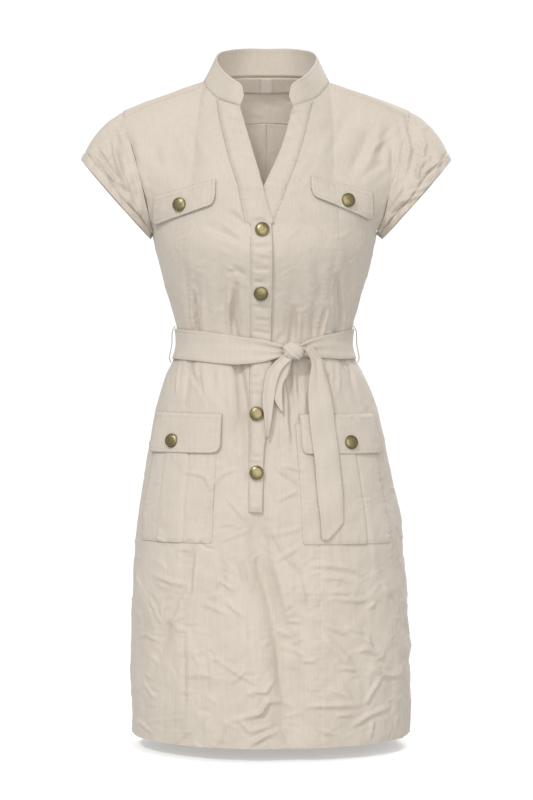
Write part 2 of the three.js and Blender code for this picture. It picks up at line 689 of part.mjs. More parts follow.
// Loop of the armhole: up the front edge, over the yoke, down the back and under the arm
function armholeLoop(side) {
  const sign = SIDES[side];
  const loop = [];
  const add = (surface, u, v, middle) => loop.push(nodeOn(surface, u, v, middle));
  const front = (a, b) => chest(side, a, b);
  const back = (a, b) => upperBack(side, a, b);
  add(trunk, sign * SIDE_DEG, ARMPIT_Z);
  for (const j of steps(UPPER_ROWS)) add(front, 1, j / UPPER_ROWS);
  for (const j of steps(YOKE_ROWS).reverse().slice(1, -1)) {
    add(yoke, sign, j / YOKE_ROWS, shoulderMiddle);
  }
  for (const j of steps(BACK_UPPER_ROWS).reverse()) add(back, 1, j / BACK_UPPER_ROWS);
  return loop;
}

// Point of the sleeve opening at a turn from its top towards the front
function sleeveOpening(sign, turn) {
  const top = new THREE.Vector3(SLEEVE_TOP.x * sign, 0, SLEEVE_TOP.z);
  const foot = new THREE.Vector3(SLEEVE_FOOT.x * sign, 0, SLEEVE_FOOT.z);
  const middle = top.clone().add(foot).multiplyScalar(0.5);
  const reach = top.clone().sub(middle);
  const out = new THREE.Vector3(reach.z * sign, 0, -reach.x * sign).normalize();
  const point = middle.clone().addScaledVector(reach, Math.cos(turn));
  point.y -= SLEEVE_HALF_DEPTH * Math.sin(turn);
  return { point: point.addScaledVector(out, SLEEVE_BOW * Math.sin(turn) ** 2), out, middle };
}

function sleeve(side) {
  const sign = SIDES[side];
  const loop = armholeLoop(side);
  const count = loop.length;
  const lengths = [0];
  for (const i of steps(count - 1)) {
    lengths.push(lengths[i] + loop[i].point.distanceTo(loop[(i + 1) % count].point));
  }
  const place = (i, v) => {
    const { point: root, normal: rootNormal } = loop[i % count];
    const turn = Math.PI * (1 - 2 * (lengths[i % count] / lengths[count]));
    const { point: end, out, middle } = sleeveOpening(sign, turn);
    const run = SLEEVE_RUN;
    const low = THREE.MathUtils.smoothstep(-root.z, run.armpitFrom, run.armpitTo);
    const start = root.clone();
    start.x += sign * (run.gap + run.armpitGap * low);
    const far = end.distanceTo(start);
    const straight = end.clone().sub(start);
    const leave = new THREE.Vector3(sign * run.leave.x, rootNormal.y * run.leave.y, run.leave.z);
    leave.normalize().multiplyScalar(far).lerp(straight, run.leave.straight + run.leave.armpit * low);
    const arrive = new THREE.Vector3(sign * run.arrive.x, 0, run.arrive.z);
    arrive.multiplyScalar(far * run.arrive.length);
    arrive.lerp(straight, run.arrive.straight + run.arrive.armpit * low);
    const point = new THREE.Vector3();
    for (const axis of ['x', 'y', 'z']) {
      point[axis] = hermite(start[axis], leave[axis], end[axis], arrive[axis], v);
    }
    const hub = new THREE.Vector3(root.x, 0, root.z * 0.5 - run.hubDrop).lerp(middle, v);
    const away = point.clone().sub(hub);
    away.addScaledVector(out, -away.dot(out) * v).normalize();
    const normal = rootNormal.clone().lerp(away, Math.min(1, v * run.turnBy)).normalize();
    return { point, normal, far };
  };
  const rows = 5;
  const body = new Net();
  const key = (i, j) => `${i % count},${j}`;
  body.block(count, rows, (i, j) => place(i, j / rows), key);
  body.wall(`sleeve_${side}`, cloth());
  const band = new Net();
  const bandRows = 2;
  const bandPlace = (i, j) => {
    const { far } = place(i, 1);
    const share = Math.min(CUFF_WIDTH, far * 0.55) / far;
    return place(i, 1 - share * (1 - j / bandRows));
  };
  band.block(count, bandRows, bandPlace, key);
  band.wall(`cuff_${side}`, cloth(), CUFF_LAY, CUFF_LAY + CLOTH);
}

// Share of the depth that a rectangle with rounded lower corners reaches at a place across it
function roundedDrop(width, depth, round, across) {
  const edge = Math.min(across, 1 - across) * width;
  const cut = edge < round ? round - Math.sqrt(round * round - (round - edge) ** 2) : 0;
  return 1 - cut / depth;
}

function skirtPatch(name, spec, columns, rows, inner) {
  const net = new Net();
  const inside = steps(columns - 4).slice(1, -1).map((i) => i / (columns - 4));
  const cuts = [0, 0.06, ...inside, 0.94, 1];
  const place = (i, j) => {
    const across = cuts[i];
    const top = THREE.MathUtils.lerp(spec.top[0], spec.top[1], across);
    const bottom = THREE.MathUtils.lerp(spec.bottom[0], spec.bottom[1], across);
    const wide = Math.abs(spec.outer - spec.inner);
    const drop = roundedDrop(wide, top - bottom, spec.round, across) * (j / rows);
    const z = THREE.MathUtils.lerp(top, bottom, drop);
    const level = (top + bottom) / 2;
    const from = degAt(spec.inner, level);
    const deg = THREE.MathUtils.lerp(from, degAt(spec.outer, level), across);
    return nodeOn(trunkBase, deg, z);
  };
  net.block(cuts.length - 1, rows, place);
  net.wall(name, cloth(), inner, inner + CLOTH);
}

// Parameters of the chest surface at a place seen from the front
function chestAt(side, x, z) {
  let [u, v] = [0.5, 0.3];
  const step = 1e-3;
  for (let round = 0; round < 14; round += 1) {
    const here = chest(side, u, v);
    const du = chest(side, u + step, v).sub(here).divideScalar(step);
    const dv = chest(side, u, v + step).sub(here).divideScalar(step);
    const [dx, dz] = [x - here.x, z - here.z];
    const det = du.x * dv.z - dv.x * du.z;
    u += (dx * dv.z - dv.x * dz) / det;
    v += (du.x * dz - dx * du.z) / det;
  }
  return [u, v];
}

const chestNode = (side, x, z) => {
  if (z < ARMPIT_Z) return nodeOn(trunk, degAt(x, z), z);
  const [u, v] = chestAt(side, x, z);
  return nodeOn((a, b) => chest(side, a, b), u, v);
};

function chestFlap(side) {
  const spec = CHEST_FLAPS[side];
  const net = new Net();
  const rows = 3;
  const cuts = [0, 0.04, 0.1, 0.25, 0.45, 0.65, 0.85, 0.93, 1];
  const place = (i, j) => {
    const across = cuts[i];
    const x = THREE.MathUtils.lerp(spec.inner[0], spec.outer[0], across);
    const top = THREE.MathUtils.lerp(spec.inner[1], spec.outer[1], across);
    const depth = THREE.MathUtils.lerp(spec.depth[0], spec.depth[1], across);
    const wide = Math.abs(spec.outer[0] - spec.inner[0]);
    const drop = roundedDrop(wide, depth, spec.round, across) * (j / rows) * depth;
    return chestNode(side, x, top - drop);
  };
  net.block(cuts.length - 1, rows, place);
  net.wall(`chest_flap_${side}`, cloth(), CHEST_LAY, CHEST_LAY + CLOTH);
}

// Domed cap of a snap button, on its axis
function capGeometry(radius) {
  const profile = [[0, 0], [radius, 0], [radius, 1.6], [radius * 0.9, 2.4], [radius * 0.8, 2.2]];
  profile.push([radius * 0.55, 3.4], [0, BUTTON_RISE]);
  const points = profile.map(([r, h]) => new THREE.Vector2(r, h));
  return new THREE.LatheGeometry(points, 16);
}

function snapButton(name, node, lift) {
  const mesh = piece(name, capGeometry(BUTTON_RADIUS), brass());
  const seat = node.point.clone().addScaledVector(node.normal, lift);
  mesh.quaternion.setFromUnitVectors(new THREE.Vector3(0, 1, 0), node.normal);
  mesh.position.copy(seat);
}

// Belt round the waist, with its edges drawn together at the knot
function beltBand() {
  const net = new Net();
  const columns = 56;
  const rows = 3;
  const waistZ = -344.5;
  const waistRing = (deg, z) => {
    const point = trunkBase(deg, THREE.MathUtils.lerp(z, waistZ, 0.6));
    return new THREE.Vector3(point.x, point.y, z);
  };
  const place = (i, j) => {
    const deg = (360 * i) / columns - 180;
    const edge = lookup(BELT_EDGES, 'deg', deg);
    const z = THREE.MathUtils.lerp(edge.bottom, edge.top, j / rows);
    const base = trunkBase(deg, z);
    const out = new THREE.Vector3(base.x + 3, base.y * 1.2, 0).normalize();
    const point = waistRing(deg, z);
    const proud = Math.max(0, base.clone().sub(point).dot(out));
    return { point: point.addScaledVector(out, proud + edge.off), normal: out };
  };
  net.block(columns, rows, place, (i, j) => `${i % columns},${j}`);
  net.wall('belt_band', cloth(), 0, BELT_THICK);
}

function beltKnot() {
  const geometry = new THREE.SphereGeometry(1, 16, 12);
  const position = geometry.attributes.position;
  const p = new THREE.Vector3();
  const half = (value, size) => (Math.sign(value) * Math.abs(value) ** 0.6 * size) / 2;
  for (let i = 0; i < position.count; i += 1) {
    p.fromBufferAttribute(position, i);
    position.setXYZ(i, half(p.x, KNOT.wide), half(p.y, KNOT.deep), half(p.z, KNOT.tall));
  }
  const deg = degAt(KNOT.x, KNOT.z);
  const node = nodeOn(trunkBase, deg, KNOT.z);
  node.normal.setZ(0).normalize();
  const mesh = piece('belt_knot', geometry, cloth());
  const clear = lookup(BELT_EDGES, 'deg', deg).off + BELT_THICK + SEAM;
  const lift = clear + KNOT.deep / 2 + KNOT_CLEAR;
  mesh.position.copy(node.point).addScaledVector(node.normal, lift);
}

function beltTail(name, table) {
  const net = new Net();
  const columns = 2;
  const place = (i, j) => {
    const row = table[j];
    const x = THREE.MathUtils.lerp(row.from, row.to, i / columns);
    const node = nodeOn(trunkBase, degAt(x, row.z), row.z);
    node.normal.setZ(0).normalize();
    node.point.addScaledVector(node.normal, row.off);
    return node;
  };
  net.block(columns, table.length - 1, place);
  net.wall(name, cloth(), 0, BELT_THICK);
}

// Thread loop that holds the belt at a side seam
function beltLoop(side) {
  const sign = SIDES[side];
  const reach = (z, off) => trunkBase(sign * SIDE_DEG, z).add(new THREE.Vector3(sign * off, 0, 0));
  const path = new THREE.CatmullRomCurve3([
    reach(-331, 1.3), reach(-338, 6.5), reach(-356, 8.5), reach(-374, 6.5), reach(-381, 1.3),
  ]);
  const centre = new THREE.Vector2();
  const corner = (i) => new THREE.Vector2(LOOP_RADIUS, 0).rotateAround(centre, (i * Math.PI) / 3);
  const section = new THREE.Shape(steps(5).map(corner));
  const options = { steps: 14, bevelEnabled: false, extrudePath: path };
  const geometry = new THREE.ExtrudeGeometry(section, options);
  piece(`belt_loop_${side}`, geometry, cloth());
}

// Strip inside the back of the neck, and the blank tag sewn on it
function neckFacing() {
  const yokeDepth = 64;
  const topShare = 0.985;
  const depthShare = FACING_DEPTH / yokeDepth;
  const patch = (name, material, uHalf, columns, share, inner) => {
    const net = new Net();
    const place = (i, j) => {
      const across = uHalf * ((2 * i) / columns - 1);
      return nodeOn(yoke, across, topShare - share * (1 - j / 2), shoulderMiddle);
    };
    net.block(columns, 2, place);
    net.wall(name, material, inner - FACING_WALL, inner);
  };
  patch('neck_facing', cloth(), 5 / YOKE_COLUMNS, 10, depthShare, -CLOTH - FACING_LAY);
  const tagLay = CLOTH + FACING_LAY + LAY + FACING_WALL;
  patch('neck_tag', tape(), 0.03, 2, depthShare * 0.96, -tagLay);
}

frontCentre();
for (const side of ['left', 'right']) {
  frontSide(side);
  backPanel(side);
  sleeve(side);
  chestFlap(side);
  skirtPatch(`hip_pocket_${side}`, HIP_POCKETS[side], 10, 6, LAY);
  skirtPatch(`hip_flap_${side}`, HIP_FLAPS[side], 10, 3, HIP_FLAP_LAY);
  beltLoop(side);
}
backYoke();
collar();
placketStrip('right', 'placket_under', LAY);
placketStrip('left', 'placket_over', UPPER_PLACKET_LAY);
for (const { name, x, z } of PLACKET_BUTTONS) {
  const lift = UPPER_PLACKET_LAY + CLOTH + SEAM * 2;
  snapButton(name, nodeOn(trunkBase, degAt(x, z), z), lift);
}
for (const { name, x, z, on } of FLAP_BUTTONS) {
  const side = x < 0 ? 'left' : 'right';
  const node = on === 'chest' ? chestNode(side, x, z) : nodeOn(trunkBase, degAt(x, z), z);
  const lift = (on === 'chest' ? CHEST_LAY : HIP_FLAP_LAY) + CLOTH + SEAM;
  snapButton(name, node, lift);
}
beltBand();
beltKnot();
beltTail('belt_tail_left', TAIL_LEFT);
beltTail('belt_tail_right', TAIL_RIGHT);
neckFacing();

export default dress;
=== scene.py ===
import math
import bmesh
import bpy
import numpy as np
from mathutils import Matrix, Vector


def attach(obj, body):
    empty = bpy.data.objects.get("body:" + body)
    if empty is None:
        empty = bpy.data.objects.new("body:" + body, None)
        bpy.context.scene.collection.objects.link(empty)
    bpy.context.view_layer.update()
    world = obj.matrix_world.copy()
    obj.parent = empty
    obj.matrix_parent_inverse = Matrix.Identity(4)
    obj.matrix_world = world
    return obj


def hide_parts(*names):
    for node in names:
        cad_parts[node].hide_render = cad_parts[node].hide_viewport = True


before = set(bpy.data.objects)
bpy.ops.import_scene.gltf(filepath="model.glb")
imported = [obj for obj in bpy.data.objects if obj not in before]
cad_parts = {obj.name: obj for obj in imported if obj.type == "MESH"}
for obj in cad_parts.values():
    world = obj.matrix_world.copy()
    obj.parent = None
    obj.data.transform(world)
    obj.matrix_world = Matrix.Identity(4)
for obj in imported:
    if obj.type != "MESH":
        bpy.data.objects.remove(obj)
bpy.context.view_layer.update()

# Sizes are in millimetres and become metres when a mesh is made.
# +Z is up, -Y is the front, and left is the viewer's left, which is -X.
MM = 0.001
HEM_Z = -880
ARMPIT_Z = -205
SLIT_END_Z = -565
PLACKET_END_Z = -577
PLACKET_END_STITCHES = (3, 22)
ARMHOLE_DEG = 80
V_POINT = (-4, -122, -156)
V_BEND = (20, -103, -102)
BACK_CENTRE = (0, 120, -125)
YOKE_CENTRE = (0, 102, -8)
SLIT_HALF = 0.6
CLOTH = 0.9
LAY = 0.6
WALL = 1.2
CHEST_LAY = 1.3
BELT_THICK = 1.6
CUFF_WIDTH = 12
FLOOR_Z = -898
# Strength of the sky as a light, and as the camera sees it
SKY_LIGHT = 0.66
SKY_SEEN = 1.06
SIDES = {"left": -1, "right": 1}

# Camera: distance in front of the origin, height, and the size of a photo pixel at the origin
CAMERA_Y = -2600
CAMERA_Z = -431.5
PIXEL = 1.357
PHOTO_MIDDLE = (266.5, 400)
PHOTO_HEIGHT = 800
SENSOR = 36

# height, half width, front depth, back depth, centre
RINGS = np.array([
    (-880, 187.8, 140, 143, 6), (-811, 188, 138, 141, 6), (-754, 188, 135, 139, 6),
    (-700, 186.3, 132, 137, 5), (-650, 182.5, 129, 135, 4), (-590, 176.5, 125, 133, 3),
    (-533, 167, 121, 130, 2), (-494, 160, 118, 126, 1), (-450, 151.4, 114, 119, 0),
    (-419, 143, 110, 112, -1), (-396, 134, 105, 104, -2), (-376, 123, 100, 97, -3),
    (-355, 117, 98, 94, -3), (-334, 119, 101, 95, -3), (-298, 128.5, 115, 100, -3),
    (-260, 140, 130, 106, -2), (-232, 147, 135, 110, -2), (-205, 153, 128, 112, -2),
], float)

# height, slit, free edge of the upper placket, its stitch line
PLACKET_LINES = np.array([
    (-577, -14, -5, -24), (-530, -13, -4.5, -24), (-495, -12, -3, -24), (-470, -11, 1, -23.5),
    (-431, -9, 7, -23), (-357, -8, 5.5, -22), (-295, -7, 6.8, -21.5), (-238, -6, 7.5, -21),
    (-205, -5, 6, -22),
], float)

# height, angle of the left and of the right front seam
PANEL_SEAMS = np.array([
    (-880, 37, 20), (-620, 39, 22), (-450, 46, 30), (-350, 54, 40), (-205, 47, 40),
], float)

# Troughs of the trunk: angle and height at each end, half width, depth
FOLDS = (
    (-4, -598, 8, -730, 13, 6), (8, -730, 11.5, -890, 14, 6), (-15, -384, -14, -520, 8, 6),
    (14, -384, 13, -505, 7, 5), (22, -384, 21, -470, 7, 4), (-50, -382, -46, -432, 7, 4),
    (58, -382, 55, -430, 7, 4), (-49, -338, -43, -292, 7, 4.5), (-19, -340, -17, -285, 7, 5),
    (17, -344, 16, -290, 7, 5), (34, -340, 31, -305, 6, 4), (56, -338, 40, -262, 8, 5),
    (112, -340, 116, -292, 9, 4), (139, -340, 141, -270, 9, 5), (163, -340, 162, -296, 8, 4),
    (-158, -340, -159, -278, 9, 5), (-133, -340, -137, -290, 9, 4), (118, -380, 122, -470, 10, 5),
    (146, -380, 148, -520, 11, 6), (168, -380, 167, -460, 9, 4), (-152, -380, -153, -500, 11, 6),
    (-124, -380, -128, -455, 9, 5), (-160, -700, -152, -890, 15, 5),
)

# Edges of the cut pieces, on the right side; the left side is their mirror image
NECK = np.array([
    (0, 78, 21), (32, 73, 20), (60, 54, 15.5), (77, 27, 8.5), (83, 2, 4), (84, -17, -3),
    (78, -36, -15.5), (66, -55, -30), (51, -70, -38), (42, -76, -41.5), (35, -80, -44),
], float)
NECK_SHOULDER_ROW = 5
COLLAR_RIM = np.array([
    (0, 67, 57.5), (28, 62, 57), (51, 44, 52), (64, 22, 45), (69, 3, 36), (67, -17, 25),
    (60, -37, 12), (52, -54, 1), (43, -66, -7), (33, -73.5, -16), (29.5, -77.5, -31),
], float)
FRONT_YOKE = np.array([(84, -17, -3), (120, -18, -16), (157, -16, -30), (193, -12, -46.5)], float)
BACK_YOKE = np.array([(184, 50, -78), (150, 80, -66), (100, 102, -53), (50, 111, -44), (0, 113, -40)], float)
FRONT_ARMHOLE = np.array([
    (148.7, -22.2, -205), (156, -42, -188), (162, -51, -163), (170, -53, -130), (180, -46, -96),
    (189, -29, -66), (193, -12, -46.5),
], float)
BACK_ARMHOLE = np.array([
    (148.7, 19.4, -205), (154, 44, -188), (160, 57, -163), (168, 62, -130), (178, 58, -100), (184, 50, -78),
], float)
YOKE_ARMHOLE = np.array([(184, 50, -78), (191, 28, -53), (194, 2, -39), (193, -12, -46.5)], float)
CHEST_CORNER = 0.5
V_ROW = 2 / 7
CHEST_ROWS = 63
FLAP_ROWS = 16
FLAP_ROW = FLAP_ROWS / CHEST_ROWS
YOKE_CORNER = 0.5

# Sleeve opening
SLEEVE_TOP = (250, -107)
SLEEVE_FOOT = (157, -213)
SLEEVE_HALF_DEPTH = 58
SLEEVE_BOW = 1
# Outwards and upwards, how the sleeve leaves the armhole and how it arrives at the opening
SLEEVE_LEAVE = (0.9, -0.42)
SLEEVE_ARRIVE = (0.35, -0.94)
UNDERARM_Z = -150
SLEEVE_LONG = 84
SLEEVE_ROUND = 470
CUFF_ROUND = 430
CUFF_ROWS = 9

# Sizes that the lines of stitches and puckers are laid out by
HEM_WIDE = 16
HEM_RADIUS = 150
BELT_WIDE = 40
BELT_END_WIDE = 34
WAIST_Z = -344.5
PLACKET_WIDE = 29
POCKET_DEEP = 157
FLAP_DEEP = 50
CHEST_FLAP_DEEP = 36
FACING_SHARE = 23 / 64
NECK_EDGE = 0.985

# angle, top edge, bottom edge and stand-off of the belt
BELT_EDGES = np.array([
    (-180, -336, -375, 1.2), (-90, -335, -375, 1.2), (-50, -340, -379, 1.2), (-20, -347, -385, 3.4),
    (-12, -350, -385, 5.6), (0, -353, -382, 5.8), (11, -359, -376, 5), (21, -359, -375, 3.6),
    (32, -350, -376, 1.6), (60, -341, -377, 1.2), (90, -335, -375, 1.2), (180, -336, -375, 1.2),
], float)
KNOT = {"x": 30.5, "z": -368, "wide": 27, "tall": 24, "deep": 18, "clear": 1.9}
# height, both edges and stand-off of the belt's two ends
TAIL_LEFT = np.array([
    (-480, -1, 1.5, 7.5), (-460, -2, 5, 8.5), (-434, -4.5, 8.5, 8.5), (-414, -3, 11, 9.5),
    (-396, 1, 16, 11), (-386, 7, 22, 13), (-378, 14, 29, 15), (-370, 24, 34, 16),
], float)
TAIL_FOLD = np.array([
    (-447, 18.5, 20, 6.5), (-431, 10, 19, 7), (-412, 11, 19.5, 8), (-400, 14, 25, 9),
    (-388, 17, 28, 11), (-376, 22, 30, 13),
], float)
TAIL_RIGHT = np.array([
    (-613, 71, 76, 5), (-612, 69.5, 77.5, 5), (-591, 68, 96.2, 5), (-589, 67.8, 96.6, 5),
    (-550, 63, 94, 5.5), (-512, 59.5, 91, 6), (-476, 55, 87, 6), (-440, 52, 81.5, 6.5),
    (-408, 51, 74, 8), (-388, 51.5, 66.5, 12), (-379, 49, 63, 15), (-371, 44, 57, 17.5), (-363, 38, 50, 18),
], float)

HIP_FLAPS = {
    "left": dict(inner=-58, outer=-150, top=(-449, -446), bottom=(-501, -501), round=9),
    "right": dict(inner=44.5, outer=146, top=(-449.5, -449.5), bottom=(-502, -503), round=5),
}
HIP_POCKETS = {
    "left": dict(inner=-67, outer=-157, top=(-462, -460), bottom=(-618, -618), round=3),
    "right": dict(inner=43, outer=153, top=(-462, -462), bottom=(-619, -621), round=3),
}
CHEST_FLAPS = {
    "left": dict(inner=(-65.5, -144), outer=(-150, -162), depth=(34, 38), round=9),
    "right": dict(inner=(57.5, -140), outer=(140, -157), depth=(27, 38), round=9),
}
# The plackets beside the V, from the armpit's height up: reach past the edge, and width from it
V_BANDS = {
    "left": np.array([
        (11.6, 16.4), (6, 20.5), (0.8, 25), (0.8, 28), (0.8, 31), (0.8, 34), (0.8, 38), (0.8, 41),
    ]),
    "right": np.array([
        (5, 10), (4, 18), (0.8, 25), (0.8, 26), (0.8, 26), (0.8, 27), (0.8, 29), (0.8, 33),
    ]),
}
# Snaps: place, centre across and up, radius
PLACKET_SNAPS = (
    ("placket_1", -5.5, -213, 9.4), ("placket_2", -7, -292, 9.4), ("placket_3", -12.5, -450, 9.4),
    ("placket_4", -12.5, -526, 9.4),
)
CHEST_SNAPS = (("chest_left", -113, -175.5, 9.3), ("chest_right", 105.5, -170.5, 9.3))
HIP_SNAPS = (("hip_left", -122, -485.5, 9.3), ("hip_right", 109, -487.5, 9.3))
# Radius and depth below the top of a snap's cap, from its middle out to its rolled rim
CAP_PROFILE = (
    (0.0, 0), (0.35, 0.12), (0.6, 0.45), (0.78, 1.0), (0.86, 1.45), (0.895, 1.5), (0.93, 1.3), (0.98, 1.6),
    (1.0, 2.3), (0.97, 6.4),
)
CAP_RISE = 4.2

# Creases: height of all, width of the sharp ones, and what is broad or only a pucker, by half width.
# Those of the skirt lie below a pixel row, and those of the sleeves beyond a distance from the middle.
CREASE_RISE = 1.38
CREASE_NARROW = 0.6
BROAD_CREASE = 6
PUCKER_WIDTH = 3
SKIRT_PIXEL = 465
SLEEVE_PIXELS = 122
SLEEVE_END_PIXEL = 240
PUCKER_GAIN = 1.4
SKIRT_GAIN = 1.45
SLEEVE_GAIN = 1.7

# Weave of the cotton: how its slubs are stretched along the warp, and the twill's scale
SLUB_STRETCH = (420, 420, 9)
TWILL_SCALE = 420

# One stitch, and the pitch of a line of them
PITCH = 3.3
STITCH = (2.3, 0.5, 0.34)
STITCH_LIFT = 0.05

rng = np.random.default_rng(7)


def smooth(keys, rows, values):
    """Cubic through the rows of a table, at any values of its key."""
    keys = np.asarray(keys, float)
    rows = np.asarray(rows, float)
    values = np.asarray(values, float)
    last = len(keys) - 1
    i = np.clip(np.searchsorted(keys, values, "right") - 1, 0, last - 1)
    before, after = np.maximum(i - 1, 0), np.minimum(i + 2, last)
    span = keys[i + 1] - keys[i]
    t = np.clip((values - keys[i]) / span, 0, 1)
    pick = (...,) + (None,) * (rows.ndim - 1)
    slope_a = (rows[i + 1] - rows[before]) / (keys[i + 1] - keys[before])[pick]
    slope_b = (rows[after] - rows[i]) / (keys[after] - keys[i])[pick]
    return curve_between(rows[i], slope_a * span[pick], rows[i + 1], slope_b * span[pick], t[pick])


def at_row(table, key):
    """The other columns of a table where its first column has this value."""
    return smooth(table[:, 0], table[:, 1:], key)


def curve_between(p0, m0, p1, m1, t):
    """Curve from p0 to p1 that leaves along m0 and arrives along m1."""
    s = 1 - t
    return p0 * s * s * (1 + 2 * t) + m0 * t * s * s + p1 * t * t * (3 - 2 * t) - m1 * t * t * s


def along(points, share):
    """Points of a line at shares of its length."""
    points = np.asarray(points, float)
    lengths = np.concatenate([[0], np.cumsum(np.linalg.norm(np.diff(points, axis=0), axis=1))])
    return smooth(lengths, points, np.asarray(share) * lengths[-1])


def curve_of(points):
    """A line of points as a curve by its share."""
    return lambda share: along(points, share)


def jointed(first, second, corner):
    """A curve by its share: along the first line up to the corner, then along the second."""
    def curve(share):
        near = along(first, np.clip(share / corner, 0, 1))
        far = along(second, np.clip((share - corner) / (1 - corner), 0, 1))
        return np.where((share < corner)[..., None], near, far)

    return curve


def mirrored(points, sign):
    return points * np.array([sign, 1, 1])


def patch_between(foot, head, start, end, u, v):
    """Patch between four edge curves that share their corners."""
    u, v = np.asarray(u, float), np.asarray(v, float)
    a, b = u[..., None], v[..., None]
    corners = (foot(np.zeros(1))[0], foot(np.ones(1))[0], head(np.zeros(1))[0], head(np.ones(1))[0])
    bilinear = (1 - a) * (1 - b) * corners[0] + a * (1 - b) * corners[1] + (1 - a) * b * corners[2]
    bilinear = bilinear + a * b * corners[3]
    return foot(u) * (1 - b) + head(u) * b + start(v) * (1 - a) + end(v) * a - bilinear


def ring(z):
    """Half width, front depth, back depth and centre of the trunk at each height."""
    return np.moveaxis(at_row(RINGS, z), -1, 0)


def trunk_base(deg, z):
    """Trunk without its folds, by the angle from the front and the height."""
    deg, z = np.broadcast_arrays(np.asarray(deg, float), np.asarray(z, float))
    half, front, back, middle = ring(z)
    depth = np.where(np.abs(deg) <= 90, front, back)
    turn = np.radians(deg)
    return np.stack([middle + half * np.sin(turn), -depth * np.cos(turn), z], -1)


def fold_depth(deg, z):
    arc = np.radians(ring(z)[0])
    depth = np.zeros(np.shape(deg))
    for a0, z0, a1, z1, wide, deep in FOLDS:
        share = np.clip((z - z0) / (z1 - z0), 0, 1)
        across = (deg - (a0 + (a1 - a0) * share)) * arc
        beyond = z - (z0 + (z1 - z0) * share)
        reach = (across ** 2 + beyond ** 2 * 0.25) / wide ** 2
        depth += deep * (1 - 0.75 * share ** 2) * np.exp(-reach)
    return depth


def trunk(deg, z):
    deg, z = np.broadcast_arrays(np.asarray(deg, float), np.asarray(z, float))
    deg = (deg + 180) % 360 - 180
    turn = np.radians(deg)
    inward = np.stack([-np.sin(turn), np.cos(turn), np.zeros_like(turn)], -1)
    return trunk_base(deg, z) + inward * fold_depth(deg, z)[..., None]


def deg_at(x, z):
    """Angle of the front at which the trunk has this x."""
    half, _, _, middle = ring(z)
    return np.degrees(np.arcsin(np.clip((x - middle) / half, -1, 1)))


def panel_seam_deg(side, z):
    return smooth(PANEL_SEAMS[:, 0], PANEL_SEAMS[:, 1 if side == "left" else 2], z)


def front_deg(side, column, z):
    """Angle at a column of the front: 0 is the slit, 1 the panel seam, 2 the armhole, 3 the side."""
    sign = SIDES[side]
    slit_x = smooth(PLACKET_LINES[:, 0], PLACKET_LINES[:, 1], z)
    slit_x = slit_x + np.where(z > SLIT_END_Z + 1, SLIT_HALF * sign, 0)
    slit = deg_at(slit_x, z) * sign
    seam = panel_seam_deg(side, z)
    angle = np.select(
        [column <= 1, column <= 2],
        [slit + (seam - slit) * column, seam + (ARMHOLE_DEG - seam) * (column - 1)],
        ARMHOLE_DEG + (90 - ARMHOLE_DEG) * (column - 2),
    )
    return sign * angle


def chest(side, u, v):
    """Front above the armpit; u runs from the V to the armhole, v from the armpit to the top."""
    sign = SIDES[side]

    def foot(c):
        z = np.full_like(c, ARMPIT_Z)
        return trunk(front_deg(side, c * 2, z), z)

    neck = mirrored(NECK[NECK_SHOULDER_ROW:], sign)[::-1]
    head = jointed(neck, mirrored(FRONT_YOKE, sign), CHEST_CORNER)
    start, corner = foot(np.zeros(1))[0], head(np.zeros(1))[0]
    low = np.array([start, (V_POINT[0] + sign, V_POINT[1], V_POINT[2])])
    inner = jointed(low, np.array([low[1], (sign * V_BEND[0], V_BEND[1], V_BEND[2]), corner]), V_ROW)
    edge = np.concatenate([foot(np.ones(1)), mirrored(FRONT_ARMHOLE, sign)[1:]])
    return patch_between(foot, head, inner, curve_of(edge), u, v)


def upper_back(side, u, v):
    sign = SIDES[side]

    def foot(c):
        return trunk(sign * (180 - c * ARMHOLE_DEG), np.full_like(c, ARMPIT_Z))

    line = mirrored(BACK_YOKE, sign)[::-1]
    centre = np.concatenate([foot(np.zeros(1)), [BACK_CENTRE], line[:1]])
    edge = np.concatenate([foot(np.ones(1)), mirrored(BACK_ARMHOLE, sign)[1:]])
    return patch_between(foot, curve_of(line), curve_of(centre), curve_of(edge), u, v)


def yoke_half(sign, u, v):
    neck = mirrored(NECK[: NECK_SHOULDER_ROW + 1], sign)
    head = jointed(neck, mirrored(FRONT_YOKE, sign), YOKE_CORNER)
    line = mirrored(BACK_YOKE, sign)[::-1]
    centre = np.array([line[0], YOKE_CENTRE, neck[0]])
    edge = mirrored(YOKE_ARMHOLE, sign)
    return patch_between(curve_of(line), head, curve_of(centre), curve_of(edge), u, v)


def yoke(u, v):
    size = np.abs(u)
    return np.where((u < 0)[..., None], yoke_half(-1, size, v), yoke_half(1, size, v))


def armhole_loop(side):
    """Dense loop of the armhole: from under the arm up the front, over the yoke and down the back."""
    sign = SIDES[side]
    up, down = np.linspace(0, 1, 61), np.linspace(1, 0, 61)
    one = np.ones_like(up)
    parts = [
        trunk(np.array([sign * 90.0]), np.array([float(ARMPIT_Z)])), chest(side, one, up),
        yoke(sign * one, down)[1:-1], upper_back(side, one, down),
    ]
    return np.concatenate(parts)


def sleeve_frame(sign):
    top = np.array([SLEEVE_TOP[0] * sign, 0, SLEEVE_TOP[1]], float)
    foot = np.array([SLEEVE_FOOT[0] * sign, 0, SLEEVE_FOOT[1]], float)
    middle = (top + foot) / 2
    reach = top - middle
    out = np.array([reach[2] * sign, 0, -reach[0] * sign])
    return middle, reach, out / np.linalg.norm(out)


